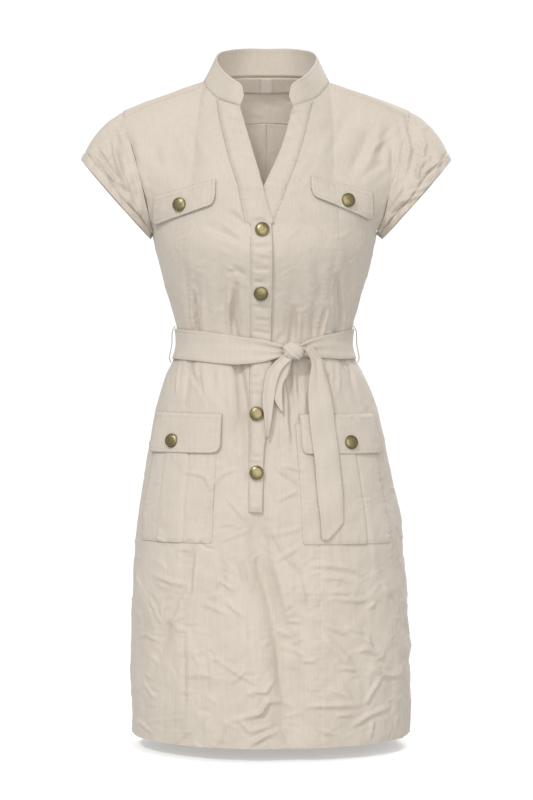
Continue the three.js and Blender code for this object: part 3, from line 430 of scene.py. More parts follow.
def sleeve(side, turn_share, v):
    """turn_share runs round the armhole from under the arm, v from the armhole to the opening."""
    sign = SIDES[side]
    loop = armhole_loop(side)
    closed = np.concatenate([loop, loop[:1]])
    lengths = np.concatenate([[0], np.cumsum(np.linalg.norm(np.diff(closed, axis=0), axis=1))])
    share = np.asarray(turn_share, float) % 1.0
    start = np.stack([np.interp(share * lengths[-1], lengths, closed[:, k]) for k in range(3)], -1)
    turn = np.pi * (1 - 2 * share)
    middle, reach, out = sleeve_frame(sign)
    end = middle + np.cos(turn)[..., None] * reach + np.sin(turn)[..., None] ** 2 * SLEEVE_BOW * out
    end[..., 1] -= SLEEVE_HALF_DEPTH * np.sin(turn)
    t = np.clip((UNDERARM_Z - start[..., 2]) / (UNDERARM_Z - ARMPIT_Z), 0, 1)
    low = (t * t * (3 - 2 * t))[..., None]
    start = start.copy()
    start[..., 0] += sign * 1.2 * low[..., 0]
    straight = end - start
    far = np.linalg.norm(straight, axis=-1, keepdims=True)
    leave = np.array([sign * SLEEVE_LEAVE[0], 0, SLEEVE_LEAVE[1]]) / np.linalg.norm(SLEEVE_LEAVE) * far
    leave = leave + (straight - leave) * (0.35 + 0.6 * low)
    arrive = np.array([sign * SLEEVE_ARRIVE[0], 0, SLEEVE_ARRIVE[1]]) * far * 0.9
    arrive = arrive + (straight - arrive) * (0.3 + 0.65 * low)
    return curve_between(start, leave, end, arrive, np.asarray(v, float)[..., None])


# Grids

def mesh_grid(us, vs):
    return np.meshgrid(us, vs, indexing="ij")


def unit_grid(columns, rows):
    """Shares from 0 to 1 across and along a grid."""
    return mesh_grid(np.linspace(0, 1, columns), np.linspace(0, 1, rows))


def bell(gap, reach):
    return np.exp(-(gap / reach) ** 2)


def normals_of(grid, outward):
    """Unit normals of a grid of points, on the side that outward(points) points to."""
    du = np.gradient(grid, axis=0)
    dv = np.gradient(grid, axis=1)
    n = np.cross(du, dv)
    n /= np.maximum(np.linalg.norm(n, axis=-1, keepdims=True), 1e-9)
    agree = np.sum(n * outward(grid))
    return n if agree > 0 else -n


def from_axis(points):
    out = points.copy()
    out[..., 2] = 0
    return out


def from_shoulders(points):
    out = points.copy()
    out[..., 0] *= 0.2
    out[..., 2] = 60
    return out


def crease_profile(gap, broad):
    """A pinched ridge with a soft trough on each side, or a broad round one, by gap over half width."""
    if broad:
        return CREASE_RISE * 1.35 * np.exp(-0.75 * gap ** 2)
    return CREASE_RISE * (1.3 * np.exp(-1.15 * gap) - 0.3 * np.exp(-1.2 * (gap - 2) ** 2))


class Creases:
    """Ridges and troughs of the crumpled cloth, each along a line of points in space."""

    def __init__(self):
        self.rows = []

    def add(self, points, height, wide):
        self.rows.append((np.asarray(points, float), height, wide))

    def relief(self, points):
        flat = points.reshape(-1, 3)
        order = np.argsort(flat[:, 2])
        level = flat[order]
        total = np.zeros(len(flat))
        floor, roof = flat.min(0), flat.max(0)
        for line, height, wide in self.rows:
            reach = wide * 3.2
            low, high = line.min(0) - reach, line.max(0) + reach
            if np.any(high < floor) or np.any(low > roof):
                continue
            first, last = np.searchsorted(level[:, 2], (low[2], high[2]))
            around = level[first:last, :2]
            near = first + np.flatnonzero(np.all((around > low[:2]) & (around < high[:2]), axis=1))
            if not len(near):
                continue
            gap, share = self.nearest(level[near], line)
            ends = np.clip(0.3 + 3 * np.minimum(share, 1 - share), 0, 1)
            total[order[near]] += height * ends * crease_profile(gap / wide, wide >= BROAD_CREASE)
        return total.reshape(points.shape[:-1])

    @staticmethod
    def nearest(points, line):
        """Gap from each point to the line, and the share of the line at which it is nearest."""
        gap = np.full(len(points), np.inf)
        share = np.zeros(len(points))
        for number, (a, b) in enumerate(zip(line[:-1], line[1:])):
            step = b - a
            t = np.clip((points - a) @ step / max(step @ step, 1e-6), 0, 1)
            far = np.linalg.norm(points - (a + t[:, None] * step), axis=1)
            share = np.where(far < gap, (number + t) / (len(line) - 1), share)
            gap = np.minimum(gap, far)
        return gap, share


PERMUTED = rng.permutation(256)
SLOPES = rng.normal(size=(256, 3))
SLOPES /= np.linalg.norm(SLOPES, axis=1, keepdims=True)
CORNERS = [np.array([i, j, k]) for i in (0, 1) for j in (0, 1) for k in (0, 1)]


def cloud(points, size, shift=0.0):
    """Smooth seeded noise, about -1 to 1, with cells of the given size in mm."""
    p = points / size + shift * 17.31
    cell = np.floor(p).astype(int)
    f = p - cell
    ease = f * f * f * (f * (f * 6 - 15) + 10)
    total = np.zeros(points.shape[:-1])
    for corner in CORNERS:
        c = cell + corner
        pick = PERMUTED[c[..., 0] & 255]
        pick = PERMUTED[(pick + c[..., 1]) & 255]
        pick = PERMUTED[(pick + c[..., 2]) & 255]
        weight = np.prod(np.where(corner == 1, ease, 1 - ease), axis=-1)
        total += np.sum(SLOPES[pick] * (f - corner), axis=-1) * weight
    return total * 1.6


def crumples(points, size, shift):
    """Flat facets that meet in sharp ridges, as in crushed cotton."""
    warp = np.stack([cloud(points, size * 1.5, shift + k) for k in (1, 2, 3)], -1) * size * 0.55
    return 0.45 - np.abs(cloud(points + warp, size, shift))


def crushed(points):
    """How crumpled the dress is at each place: most on the lower skirt, least on the shoulders."""
    x, y, z = points[..., 0], points[..., 1], points[..., 2]
    levels = np.array([-880, -700, -600, -520, -420, -340, -230, -130, 0], float)
    amounts = np.array([1.1, 1.0, 0.85, 0.5, 0.4, 0.4, 0.42, 0.3, 0.25])
    amount = np.interp(z, levels, amounts)
    right = 1 / (1 + np.exp(-(x - 30) / 18))
    skirt = 1 / (1 + np.exp((z + 560) / 25))
    return amount * (1 + 0.2 * right * skirt * (y < 0))


def undulation(points):
    """Slow unevenness of cloth that hangs, and its crumples."""
    tall = points * np.array([1, 1, 0.5])
    amount = crushed(points)
    total = 1.5 * cloud(tall, 70, 5) + 0.9 * cloud(tall, 38, 9)
    total = total * (0.6 + 0.5 * amount)
    total += amount * (2.5 * crumples(points, 62, 20) - 2.0 * crumples(points, 48, 31))
    return total + amount * (1.2 * crumples(points, 27, 43) - 0.9 * crumples(points, 20, 57))


# Photo lookup

def photo_samples():
    """Points of the front surfaces, for finding what lies under a photo pixel."""
    blocks = []
    for side in SIDES:
        c, z = mesh_grid(np.linspace(0, 3, 120), np.linspace(HEM_Z, ARMPIT_Z, 300))
        u, v = unit_grid(90, 90)
        a, b = mesh_grid(np.linspace(0.02, 0.48, 60), np.linspace(0, 1, 40))
        for surface in (trunk(front_deg(side, c, z), z), chest(side, u, v), sleeve(side, a, b)):
            blocks.append(surface.reshape(-1, 3))
    points = np.concatenate(blocks)
    scale = PIXEL * (1 + points[:, 1] / -CAMERA_Y)
    px = PHOTO_MIDDLE[0] + points[:, 0] / scale
    py = PHOTO_MIDDLE[1] - (points[:, 2] - CAMERA_Z) / scale
    return points, np.stack([px, py], -1)


FRONT_POINTS, FRONT_PIXELS = photo_samples()


def under_pixel(px, py):
    return FRONT_POINTS[np.argmin(np.sum((FRONT_PIXELS - (px, py)) ** 2, axis=1))]


# Creases seen in the photo: height and half width in mm, then lines of photo pixels as x, y, x, y
SEEN_CREASES = {
    (2.6, 8): [(268, 546, 279, 586, 291, 630)],
    (2.0, 5): [(203, 300, 204, 330)],
    (1.8, 6): [(323, 634, 331, 644, 343, 658, 354, 670)],
    (1.7, 5): [(115, 148, 120, 168, 129, 190)],
    (1.6, 4): [(284, 378, 287, 420, 292, 448)],
    (1.6, 5): [(310, 566, 322, 565, 348, 567, 361, 575), (327, 626, 340, 631, 348, 635),
        (371, 665, 383, 675, 397, 675), (307, 707, 329, 706, 362, 705), (300, 316, 300, 344),
        (332, 280, 334, 328), (349, 296, 349, 330), (203, 366, 206, 396), (338, 364, 338, 392)],
    (1.6, 6): [(236, 368, 238, 420), (229, 368, 235, 400, 239, 440, 241, 480)],
    (1.5, 4): [(97, 153, 106, 168, 116, 184)],
    (1.5, 5): [(153, 576, 176, 583, 187, 585), (358, 651, 366, 649, 382, 656),
        (354, 727, 369, 715, 389, 707), (250, 715, 263, 713, 268, 701, 281, 701, 293, 706),
        (250, 743, 278, 731, 288, 745), (402, 120, 410, 150, 404, 178), (416, 124, 424, 146, 419, 174),
        (228, 296, 228, 332)],
    (1.5, 6): [(381, 130, 364, 168)],
    (1.4, 4): [(431, 154, 417, 169, 419, 182), (421, 195, 399, 203), (304, 370, 304, 410)],
    (1.4, 5): [(232, 721, 260, 714, 270, 700), (323, 577, 340, 578, 351, 582),
        (340, 600, 354, 601, 369, 600), (383, 675, 371, 694, 365, 707), (180, 362, 177, 392)],
    (1.3, 3): [(328, 312, 323, 336)],
    (1.3, 4): [(232, 684, 245, 672), (348, 628, 365, 633), (286, 647, 303, 655),
        (250, 689, 265, 692, 274, 680), (428, 186, 406, 196), (404, 184, 388, 208),
        (100, 163, 114, 153, 120, 172), (272, 530, 286, 556, 300, 572)],
    (1.3, 5): [(187, 585, 180, 607, 169, 630), (221, 662, 255, 684), (239, 721, 249, 731, 270, 727),
        (228, 372, 236, 460), (116, 130, 119, 156), (240, 556, 246, 584)],
    (1.3, 7): [(350, 130, 332, 160)],
    (1.2, 4): [(138, 637, 148, 635, 158, 640), (217, 588, 221, 581, 234, 590), (210, 662, 218, 659),
        (212, 662, 212, 693), (249, 745, 270, 732), (330, 592, 347, 594), (368, 638, 372, 647),
        (337, 715, 354, 714), (320, 730, 334, 735), (340, 668, 355, 671), (282, 630, 291, 638),
        (293, 644, 303, 637), (372, 721, 369, 739), (329, 689, 343, 696), (283, 372, 286, 452),
        (294, 372, 297, 455), (440, 162, 424, 172), (124, 168, 136, 192), (108, 174, 128, 188),
        (276, 462, 286, 476), (284, 466, 302, 470), (101, 150, 108, 158), (128, 196, 138, 214),
        (300, 578, 306, 606), (150, 600, 160, 622)],
    (1.2, 5): [(270, 536, 300, 528), (275, 560, 297, 548), (398, 150, 395, 182), (236, 212, 250, 228),
        (243, 300, 243, 336), (226, 600, 244, 616)],
    (1.2, 6): [(163, 136, 169, 158)],
    (1.2, 8): [(342, 112, 318, 160)],
    (1.1, 4): [(196, 551, 193, 593), (170, 624, 183, 614), (190, 676, 200, 673, 210, 676),
        (246, 694, 266, 691), (148, 722, 183, 718), (138, 717, 151, 732), (173, 746, 193, 728),
        (217, 746, 229, 720), (376, 602, 369, 609), (383, 588, 392, 596), (288, 621, 300, 622),
        (303, 660, 317, 662), (337, 675, 352, 703), (279, 275, 294, 268), (278, 470, 300, 484),
        (276, 500, 296, 492), (228, 498, 246, 520), (222, 540, 250, 530), (104, 150, 118, 140),
        (112, 140, 117, 156)],
    (1.1, 5): [(398, 128, 372, 150), (190, 370, 205, 402), (222, 222, 243, 240)],
    (1.0, 4): [(176, 630, 187, 630), (144, 683, 155, 698), (263, 645, 271, 641),
        (185, 472, 205, 476, 212, 489), (210, 489, 222, 474, 236, 469), (229, 269, 242, 272)],
    (1.0, 5): [(204, 604, 226, 612)],
    (1.0, 6): [(176, 128, 192, 165), (196, 132, 206, 160), (213, 262, 215, 326), (307, 252, 312, 310)],
    (0.9, 4): [(211, 489, 211, 512)],
    (0.8, 4): [(300, 215, 322, 232), (228, 267, 236, 274, 238, 284)],
    (0.7, 4): [(332, 240, 350, 232), (285, 240, 300, 228)],
    (-0.8, 2.6): [(227, 120, 240, 123), (232, 133, 245, 136), (238, 144, 250, 147), (243, 160, 252, 162)],
    (-0.8, 3): [(234, 271, 244, 274), (278, 276, 286, 272, 295, 268)],
    (-0.8, 5): [(345, 262, 330, 300)],
    (-0.9, 2.6): [(288, 112, 303, 115), (287, 123, 297, 127), (283, 139, 293, 142), (279, 153, 288, 155)],
    (-1.0, 2.4): [(253, 247, 270, 246), (253, 306, 270, 307), (253, 318, 270, 320), (250, 378, 262, 377),
        (251, 385, 262, 387), (250, 394, 262, 395), (250, 456, 260, 459), (250, 462, 262, 464)],
    (-1.0, 2.6): [(252, 223, 258, 221.5, 265, 222)],
    (-1.0, 4): [(184.5, 647, 184.5, 707), (225, 286, 224, 304)],
    (-1.0, 5): [(186, 262, 189, 326)],
    (-1.0, 6): [(378, 130, 352, 172), (221, 268, 222, 330), (318, 256, 322, 306)],
    (-1.1, 2.4): [(255, 256, 270, 259), (254, 268, 270, 268), (252, 330, 270, 333)],
    (-1.1, 5): [(386, 160, 360, 178), (212, 372, 222, 405), (206, 226, 228, 236)],
    (-1.2, 2.4): [(254, 281, 263, 283)],
    (-1.2, 3.4): [(282, 333, 278, 343)],
    (-1.2, 4): [(289, 368, 291, 460), (280, 430, 284, 462), (222, 556, 224, 590)],
    (-1.2, 5): [(122, 150, 127, 178), (118, 122, 121, 140)],
    (-1.2, 6): [(152, 142, 160, 168)],
    (-1.2, 8): [(160, 130, 180, 168)],
    (-1.3, 4): [(420, 150, 434, 158), (414, 200, 392, 214), (138, 176, 147, 206), (360, 294, 355, 320),
        (223, 233, 231, 237, 240, 241)],
    (-1.3, 5): [(233, 380, 238, 470), (221, 288, 220, 310), (133, 178, 138, 204)],
    (-1.3, 7): [(345, 246, 352, 300)],
    (-1.4, 4): [(97, 149, 103, 157)],
    (-1.4, 5): [(131, 139, 134, 166), (213, 366, 214, 396)],
    (-1.4, 6): [(195, 278, 196, 302)],
    (-1.5, 4): [(230, 272, 236, 270.5, 241, 272, 244, 279)],
    (-1.5, 5): [(392, 140, 393, 170)],
    (-1.6, 4): [(299, 380, 300, 424)],
    (-1.6, 5): [(408, 118, 416, 148, 410, 174), (222, 368, 226, 410)],
    (-1.6, 6): [(228, 368, 232, 398)],
    (-1.6, 8): [(355, 105, 335, 150)],
    (-1.6, 9): [(347, 118, 322, 134)],
    (-1.7, 4): [(228, 212.5, 236, 215.5, 242, 220, 249, 227)],
    (-1.8, 4): [(326, 360, 328, 382)],
    (-1.8, 6): [(299, 368, 301, 400), (124, 128, 127, 150, 134, 172)],
    (-1.8, 7): [(390, 126, 378, 160)],
    (-1.8, 8): [(170, 618, 156, 664)],
    (-2.0, 6.5): [(103, 162, 113, 176, 123, 194)],
    (-2.0, 8): [(371, 128, 352, 170)],
    (-2.2, 3.4): [(187, 360, 192, 368, 196, 384), (346, 359, 350, 367, 353, 384)],
    (-2.2, 4): [(289, 363, 288, 380, 292, 400, 297, 424)],
    (-2.2, 7): [(241, 372, 244, 410, 242, 452)],
    (-2.2, 9): [(190, 546, 187, 590)],
    (-2.6, 3.1): [(325, 310, 319, 338)],
    (-2.6, 4): [(236, 364, 239, 376)],
    (-2.6, 6): [(237, 368, 243, 400, 246, 440, 248, 480)],
    (-3.6, 3.3): [(294, 308, 293, 328, 291, 345)],
    (-3.8, 3.2): [(236, 285, 233.5, 316, 235, 336)],
    (-3.8, 3.8): [(337, 276, 342, 312, 341, 332)],
    (-4.4, 3.1): [(193, 293, 196, 316, 198.5, 333)],
    (-5.6, 14): [(254, 536, 266, 580, 278, 630, 285, 680, 289, 748)],
}

creases = Creases()
for (height, wide), lines in SEEN_CREASES.items():
    narrow = CREASE_NARROW if wide < BROAD_CREASE and height > 0 else 1
    for pixels in lines:
        gain = 1
        if wide < PUCKER_WIDTH:
            gain = PUCKER_GAIN
        elif pixels[1] > SKIRT_PIXEL:
            gain = SKIRT_GAIN
        elif abs(pixels[0] - PHOTO_MIDDLE[0]) > SLEEVE_PIXELS and pixels[1] < SLEEVE_END_PIXEL:
            gain = SLEEVE_GAIN
        points = [under_pixel(*pixel) for pixel in zip(pixels[::2], pixels[1::2])]
        creases.add(points, height * gain, wide * narrow)


def scatter(count, place, spread, height, wide):
    """Short creases at seeded places of a surface; place(a, b) takes shares from 0 to 1."""
    for _ in range(count):
        a, b = rng.uniform(0, 1, 2)
        turn = rng.normal(0, 0.7)
        reach = rng.uniform(0.4, 1.0) * np.array([np.cos(turn) * spread[0], np.sin(turn) * spread[1]])
        bend = rng.uniform(-0.25, 0.25, 2) * reach[::-1]
        start = np.array([a, b])
        shares = (start, start + reach / 2 + bend, start + reach)
        points = [place(*np.clip(share, 0, 1)[:, None])[0] for share in shares]
        rise = rng.uniform(0.4, 1.0) * height * rng.choice([1, 1, -1])
        creases.add(points, rise, wide * rng.uniform(0.75, 1.2))


# Those of the trunk: count, first angle and angles covered, foot and height covered, then as above
SCATTERED = (
    (360, -180, 360, HEM_Z, 340, (0.03, 0.08), 0.9, 2.3),
    (150, 92, 176, HEM_Z, 340, (0.08, 0.11), 1.5, 2.8),
    (130, -180, 360, -540, 150, (0.025, 0.16), 0.55, 2.8),
    (150, -180, 360, -350, 145, (0.02, 0.18), 0.45, 2.8),
    (60, 92, 176, -540, 330, (0.03, 0.14), 1.0, 3.6),
)
for count, first, turn, foot, tall, *form in SCATTERED:
    scatter(count, lambda a, b: trunk(first + a * turn, foot + b * tall), *form)
for name in SIDES:
    scatter(60, lambda a, b: chest(name, a, b), (0.14, 0.16), 0.35, 3.2)
    scatter(50, lambda a, b: upper_back(name, a, b), (0.16, 0.18), 0.8, 4)
    scatter(70 if name == "right" else 45, lambda a, b: sleeve(name, a, b), (0.05, 0.3), 0.8, 3.2)
scatter(50, lambda a, b: yoke(a * 2 - 1, b), (0.09, 0.3), 0.6, 3.6)


def relief(points):
    return creases.relief(points) + undulation(points)


# Meshes

def add_grid(bm, points, lay, flip, keep=None):
    """Adds a grid of quads to bm, moved onto an array of points in mm; lay is its map in metres."""
    across, down = points.shape[0] - 1, points.shape[1] - 1
    patch = bmesh.new()
    bmesh.ops.create_grid(patch, x_segments=across, y_segments=down, size=1)
    patch.faces.ensure_lookup_table()
    if flip:
        bmesh.ops.reverse_faces(patch, faces=patch.faces[:])
    mesh = bpy.data.meshes.new("patch")
    patch.to_mesh(mesh)
    mesh.vertices.foreach_set("co", (points.swapaxes(0, 1) * MM).ravel())
    spread = mesh.attributes.new("lay", "FLOAT_VECTOR", "POINT")
    spread.data.foreach_set("vector", lay.swapaxes(0, 1).ravel())
    patch.free()
    if keep is not None:
        patch = bmesh.new()
        patch.from_mesh(mesh)
        gone = [face for face, kept in zip(patch.faces[:], keep.T.ravel()) if not kept]
        bmesh.ops.delete(patch, geom=gone, context="FACES")
        patch.to_mesh(mesh)
        patch.free()
    bm.from_mesh(mesh)
    bpy.data.meshes.remove(mesh)


def lay_of(points):
    """Map of a grid by the lengths across and along it, in metres."""
    across = np.linalg.norm(np.diff(points, axis=0), axis=-1).mean(1)
    down = np.linalg.norm(np.diff(points, axis=1), axis=-1).mean(0)
    u, v = np.concatenate([[0], np.cumsum(across)]), np.concatenate([[0], np.cumsum(down)])
    a, b = mesh_grid(u, v)
    return np.stack([a, b, np.zeros_like(a)], -1) * MM


def map_cloth(mesh):
    """Turns the lay of each point into the piece's UV map."""
    if "lay" not in mesh.attributes:
        return
    lay = np.empty(len(mesh.vertices) * 3, np.float32)
    mesh.attributes["lay"].data.foreach_get("vector", lay)
    corners = np.empty(len(mesh.loops), np.int32)
    mesh.loops.foreach_get("vertex_index", corners)
    layer = mesh.uv_layers.new(name="cloth")
    layer.data.foreach_set("uv", lay.reshape(-1, 3)[corners, :2].ravel())
    mesh.attributes.remove(mesh.attributes["lay"])


def cloth_piece(name, blocks, node, outward=from_axis, outer=0.0, thick=CLOTH, extra=None, crumple=1.0,
                material=None, weld=0.05, keeps=None, crisp=False):
    """A cloth wall on blocks of base points; gives the points and normals of each block's surface.

    extra(points, block number) adds to the relief, and keeps tells the quads of a block that stay.
    """
    bm = bmesh.new()
    surfaces = []
    for number, base in enumerate(blocks):
        n = normals_of(base, outward)
        lift = relief(base) * crumple + outer
        if extra is not None:
            lift = lift + extra(base, number)
        points = base + n * lift[..., None]
        facing = np.cross(np.gradient(points, axis=0), np.gradient(points, axis=1))
        add_grid(bm, points, lay_of(base), np.sum(facing * n) < 0, keeps[number] if keeps else None)
        surfaces.append((points, n))
    bmesh.ops.remove_doubles(bm, verts=bm.verts, dist=weld * MM)
    if crisp:
        for edge in bm.edges:
            edge.smooth = not edge.is_boundary
    piece = finish_piece(name, bm, material or cloth_look, node)
    wall = piece.modifiers.new("wall", "SOLIDIFY")
    wall.thickness = thick * MM
    wall.offset = -1
    return surfaces


def finish_piece(name, bm, material, node=None, smooth_shade=True):
    """Makes a bmesh a piece of the dress, in place of the node that it stands for, if any."""
    mesh = bpy.data.meshes.new(name)
    bm.to_mesh(mesh)
    bm.free()
    map_cloth(mesh)
    if smooth_shade:
        mesh.polygons.foreach_set("use_smooth", [True] * len(mesh.polygons))
    piece = bpy.data.objects.new(name, mesh)
    bpy.context.scene.collection.objects.link(piece)
    mesh.materials.append(material)
    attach(piece, "root")
    if node:
        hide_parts(node)
    return piece


# Materials

class Look:
    """A procedural material: its shader, and the nodes that feed it."""

    def __init__(self, name, **sockets):
        self.material = bpy.data.materials.new(name)
        self.material.use_nodes = True
        self.tree = self.material.node_tree
        self.shader = self.tree.nodes["Principled BSDF"]
        for socket, value in sockets.items():
            self.feed(self.shader, socket.replace("_", " "), value)

    def feed(self, node, socket, value):
        """Sets a node's socket to a value, or links it to another node's output."""
        if isinstance(value, bpy.types.NodeSocket):
            self.tree.links.new(value, node.inputs[socket])
        else:
            node.inputs[socket].default_value = value

    def add(self, kind, output, inputs=(), **settings):
        node = self.tree.nodes.new("ShaderNode" + kind)
        for setting, value in settings.items():
            setattr(node, setting, value)
        for socket, value in dict(inputs).items():
            self.feed(node, socket, value)
        return node.outputs[output]

    def noise(self, vector, scale, detail=3, distortion=0.0, kind="FBM"):
        inputs = {"Vector": vector, "Scale": scale, "Detail": detail, "Distortion": distortion}
        return self.add("TexNoise", "Fac", inputs, noise_type=kind)

    def weigh(self, value, weight, plus=0.0):
        return self.add("Math", 0, {0: value, 1: weight, 2: plus}, operation="MULTIPLY_ADD")

    def ramp(self, factor, *stops):
        colour = self.add("ValToRGB", "Color", {"Fac": factor})
        elements = colour.node.color_ramp.elements
        while len(elements) < len(stops):
            elements.new(0.5)
        for element, (position, stop) in zip(elements, stops):
            element.position = position
            element.color = (*stop, 1)
        return colour

    def bump(self, *layers):
        """Bumps over each other, each a height, a strength and a distance in metres."""
        normal = None
        for height, strength, distance in layers:
            inputs = {"Height": height, "Strength": strength, "Distance": distance}
            if normal is not None:
                inputs["Normal"] = normal
            normal = self.add("Bump", "Normal", inputs)
        self.feed(self.shader, "Normal", normal)


def cotton(name, light, dark, crumple=1.0):
    """Light cotton: slubby warp streaks, a fine twill, small crumples and a soft bloom."""
    look = Look(name, Roughness=0.86, Sheen_Weight=0.22, Sheen_Roughness=0.5, Specular_IOR_Level=0.25)
    place = look.add("TexCoord", "Object")
    slub = look.noise(look.add("Mapping", "Vector", {"Vector": place, "Scale": SLUB_STRETCH}), 1)
    shade = look.weigh(slub, 0.55, look.weigh(look.noise(place, 16, 4), 0.45))
    look.feed(look.shader, "Base Color", look.ramp(shade, (0.3, dark), (0.66, light)))
    lay = look.add("UVMap", "UV", uv_map="cloth")
    twill = {"Vector": lay, "Scale": TWILL_SCALE, "Distortion": 1.2, "Detail": 1}
    weave = look.add("TexWave", "Fac", twill, bands_direction="DIAGONAL")
    folds = look.noise(place, 42, 3, 0.6, "RIDGED_MULTIFRACTAL")
    look.bump((folds, 0.5 * crumple, 0.0009), (look.noise(place, 130, 3, 0.4), 0.35, 0.0005),
              (slub, 0.25, 0.0003), (weave, 0.2, 0.0002))
    return look.material


def antique_brass():
    """Antique brass: rubbed bright on the dome and rim, dark in the groove."""
    look = Look("antique_brass", Metallic=1.0)
    spots = look.noise(look.add("TexCoord", "Object"), 500, 4)
    worn = look.weigh(spots, 0.5, look.add("Attribute", "Fac", attribute_name="worn"))
    look.feed(look.shader, "Base Color", look.ramp(
        worn, (0.25, (0.035, 0.027, 0.014)), (0.6, (0.19, 0.155, 0.078)), (1.0, (0.46, 0.4, 0.24))))
    look.feed(look.shader, "Roughness", look.ramp(spots, (0.3, (0.3, 0.3, 0.3)), (0.7, (0.44, 0.44, 0.44))))
    look.bump((spots, 0.15, 0.0002))
    return look.material


def sewing_thread():
    look = Look("sewing_thread", Roughness=0.6)
    twist = look.noise(look.add("TexCoord", "Object"), 900, 2)
    colour = look.ramp(twist, (0.3, (0.46, 0.405, 0.325)), (0.7, (0.6, 0.545, 0.46)))
    look.feed(look.shader, "Base Color", colour)
    return look.material


cloth_look = cotton("stone_cotton", (0.566, 0.507, 0.434), (0.507, 0.448, 0.375))
belt_look = cotton("belt_cotton", (0.566, 0.507, 0.434), (0.511, 0.452, 0.38), 0.4)
tag_look = cotton("tag_tape", (0.62, 0.57, 0.5), (0.56, 0.51, 0.44), 0.3)
thread_look = sewing_thread()
brass_look = antique_brass()


# Pieces

TRUNK_ZS = np.linspace(HEM_Z, ARMPIT_Z, 316)
CHEST_VS = np.linspace(0, 1, CHEST_ROWS + 1)
# Quads across the front, from the slit to the panel seam and from there to the armhole, and the
# length in mm of the first of them
SIDE_COLUMNS = {"left": (54, 52), "right": (44, 74)}
PANEL_WIDE = {"left": 111, "right": 88}
SEAM_STITCHES = (2, 7)
# Quads along a placket, below the armpit's height and above it, and across the yoke
PLACKET_ROWS = (139, 71)
YOKE_COLUMNS = 172


def hem_relief(points):
    """The hem's step, the groove of its stitches and the puckers beside it."""
    z = points[..., 2]
    hem = z - (HEM_Z + HEM_WIDE)
    arc = np.arctan2(points[..., 0], -points[..., 1]) * HEM_RADIUS
    pucker = np.sin(arc / 1.9 + 2 * np.sin(arc / 17)) * 0.28 + np.sin(arc / 3.7) * 0.2
    lift = np.where(hem < 1.5, 0.25, 0) - 0.12 * bell(hem, 1.6)
    return lift + 0.6 * pucker * np.exp(-np.abs(hem) / 9)


def strip_share(c):
    """Share of the chest's height that the yoke takes at the shoulder, by the column from 1 to 2."""
    along_seam = np.clip(c - 1, 0, 1)
    return (0.044 - 0.018 * along_seam) * np.clip(along_seam / 0.07, 0, 1)


def front_grid(side, columns):
    """Base points of the front from the slit (0) by the seam (1) and the armhole (2) to the side (3)."""
    c, z = mesh_grid(columns, TRUNK_ZS)
    u, v = mesh_grid(np.minimum(columns, 2) / 2, CHEST_VS[1:])
    rows = np.concatenate([np.zeros(len(TRUNK_ZS)), CHEST_VS[1:]])
    over = np.clip((v - 0.5) * 2, 0, 1)
    v = v * (1 - over * strip_share(mesh_grid(columns, CHEST_VS[1:])[0]))
    return np.concatenate([trunk(front_deg(side, c, z), z), chest(side, u, v)], axis=1), rows


def middles(values):
    return (values[1:] + values[:-1]) / 2


def runs(*parts):
    """Joins (first, last, count) runs of columns, each with its last value left to the next."""
    joined = [np.linspace(first, last, count, endpoint=False) for first, last, count in parts]
    return np.concatenate(joined + [[parts[-1][1]]])


def seam_pucker(length, gap, wave=6.5, size=0.3, groove=0.4):
    """Ripples across a line of stitches, by the way along it and the gap from it."""
    turn = length * 6.283 / wave
    ripple = np.sin(turn + 1.7 * np.sin(length / 23)) + 0.5 * np.sin(turn / 1.9)
    return size * ripple * np.exp(-np.abs(gap) / 7) - groove * bell(gap, 1.3)


def edge_puckers(length, share, wide, inset, wave=7, size=0.25):
    """Puckers beside the stitches along two opposite edges, by the share of the width between them."""
    near, far = share * wide - inset, (1 - share) * wide - inset
    return seam_pucker(length, near, wave, size) + seam_pucker(length, far, wave, size)


def panel_seam_lift(side, points):
    z = points[..., 2]
    seam = panel_seam_deg(side, z) * SIDES[side]
    half, front, _, middle = ring(z)
    deg = np.degrees(np.arctan2((points[..., 0] - middle) / half, -points[..., 1] / front))
    gap = (deg - seam) * np.radians(half * 0.9)
    inner = -SIDES[side] * gap
    lift = 0.15 / (1 + np.exp(-inner * 2.2))
    return lift + seam_pucker(z, inner - 1.2, groove=0.5) + seam_pucker(z + 2, inner - 7, 7.3, 0.2, 0.15)


def front_centre():
    blocks, keeps, levels = [], [], []
    for side in SIDES:
        count, outer_count = SIDE_COLUMNS[side]
        columns = runs((0, 1, count), (1, 2, outer_count))
        base, rows = front_grid(side, columns)
        c, v = mesh_grid(middles(columns), middles(rows))
        blocks.append(base)
        keeps.append((c < 1) | (v > FLAP_ROW))
        levels.append(mesh_grid(columns, rows))

    def extra(points, number):
        c, v = levels[number]
        seamed = (c <= 1.01) & (v < FLAP_ROW)
        lift = np.where(seamed, panel_seam_lift(list(SIDES)[number], points), 0)
        return lift + np.where(v == 0, hem_relief(points), 0)

    return cloth_piece("panel_front_centre", blocks, "front_centre", extra=extra, keeps=keeps, weld=0.5,
                       crisp=True)


def front_side(side):
    count, outer_count = SIDE_COLUMNS[side]
    tuck = 3 / count
    columns = runs((1 - tuck, 1, 3), (1, 2, outer_count), (2, 3, 8))
    base, rows = front_grid(side, columns)
    c, v = mesh_grid(middles(columns), middles(rows))
    keep = (v < FLAP_ROW) & ((c < 2) | (v == 0))
    c, v = mesh_grid(columns, rows)

    def extra(points, number):
        lift = np.where(v < FLAP_ROW, panel_seam_lift(side, points), 0)
        lift += np.where(v == 0, hem_relief(points), 0)
        return lift - 0.5 * np.clip((1.004 - c) * count / 1.5, 0, 1)

    return cloth_piece(f"panel_front_side_{side}", [base], f"front_side_{side}", extra=extra, keeps=[keep],
                       crisp=True)


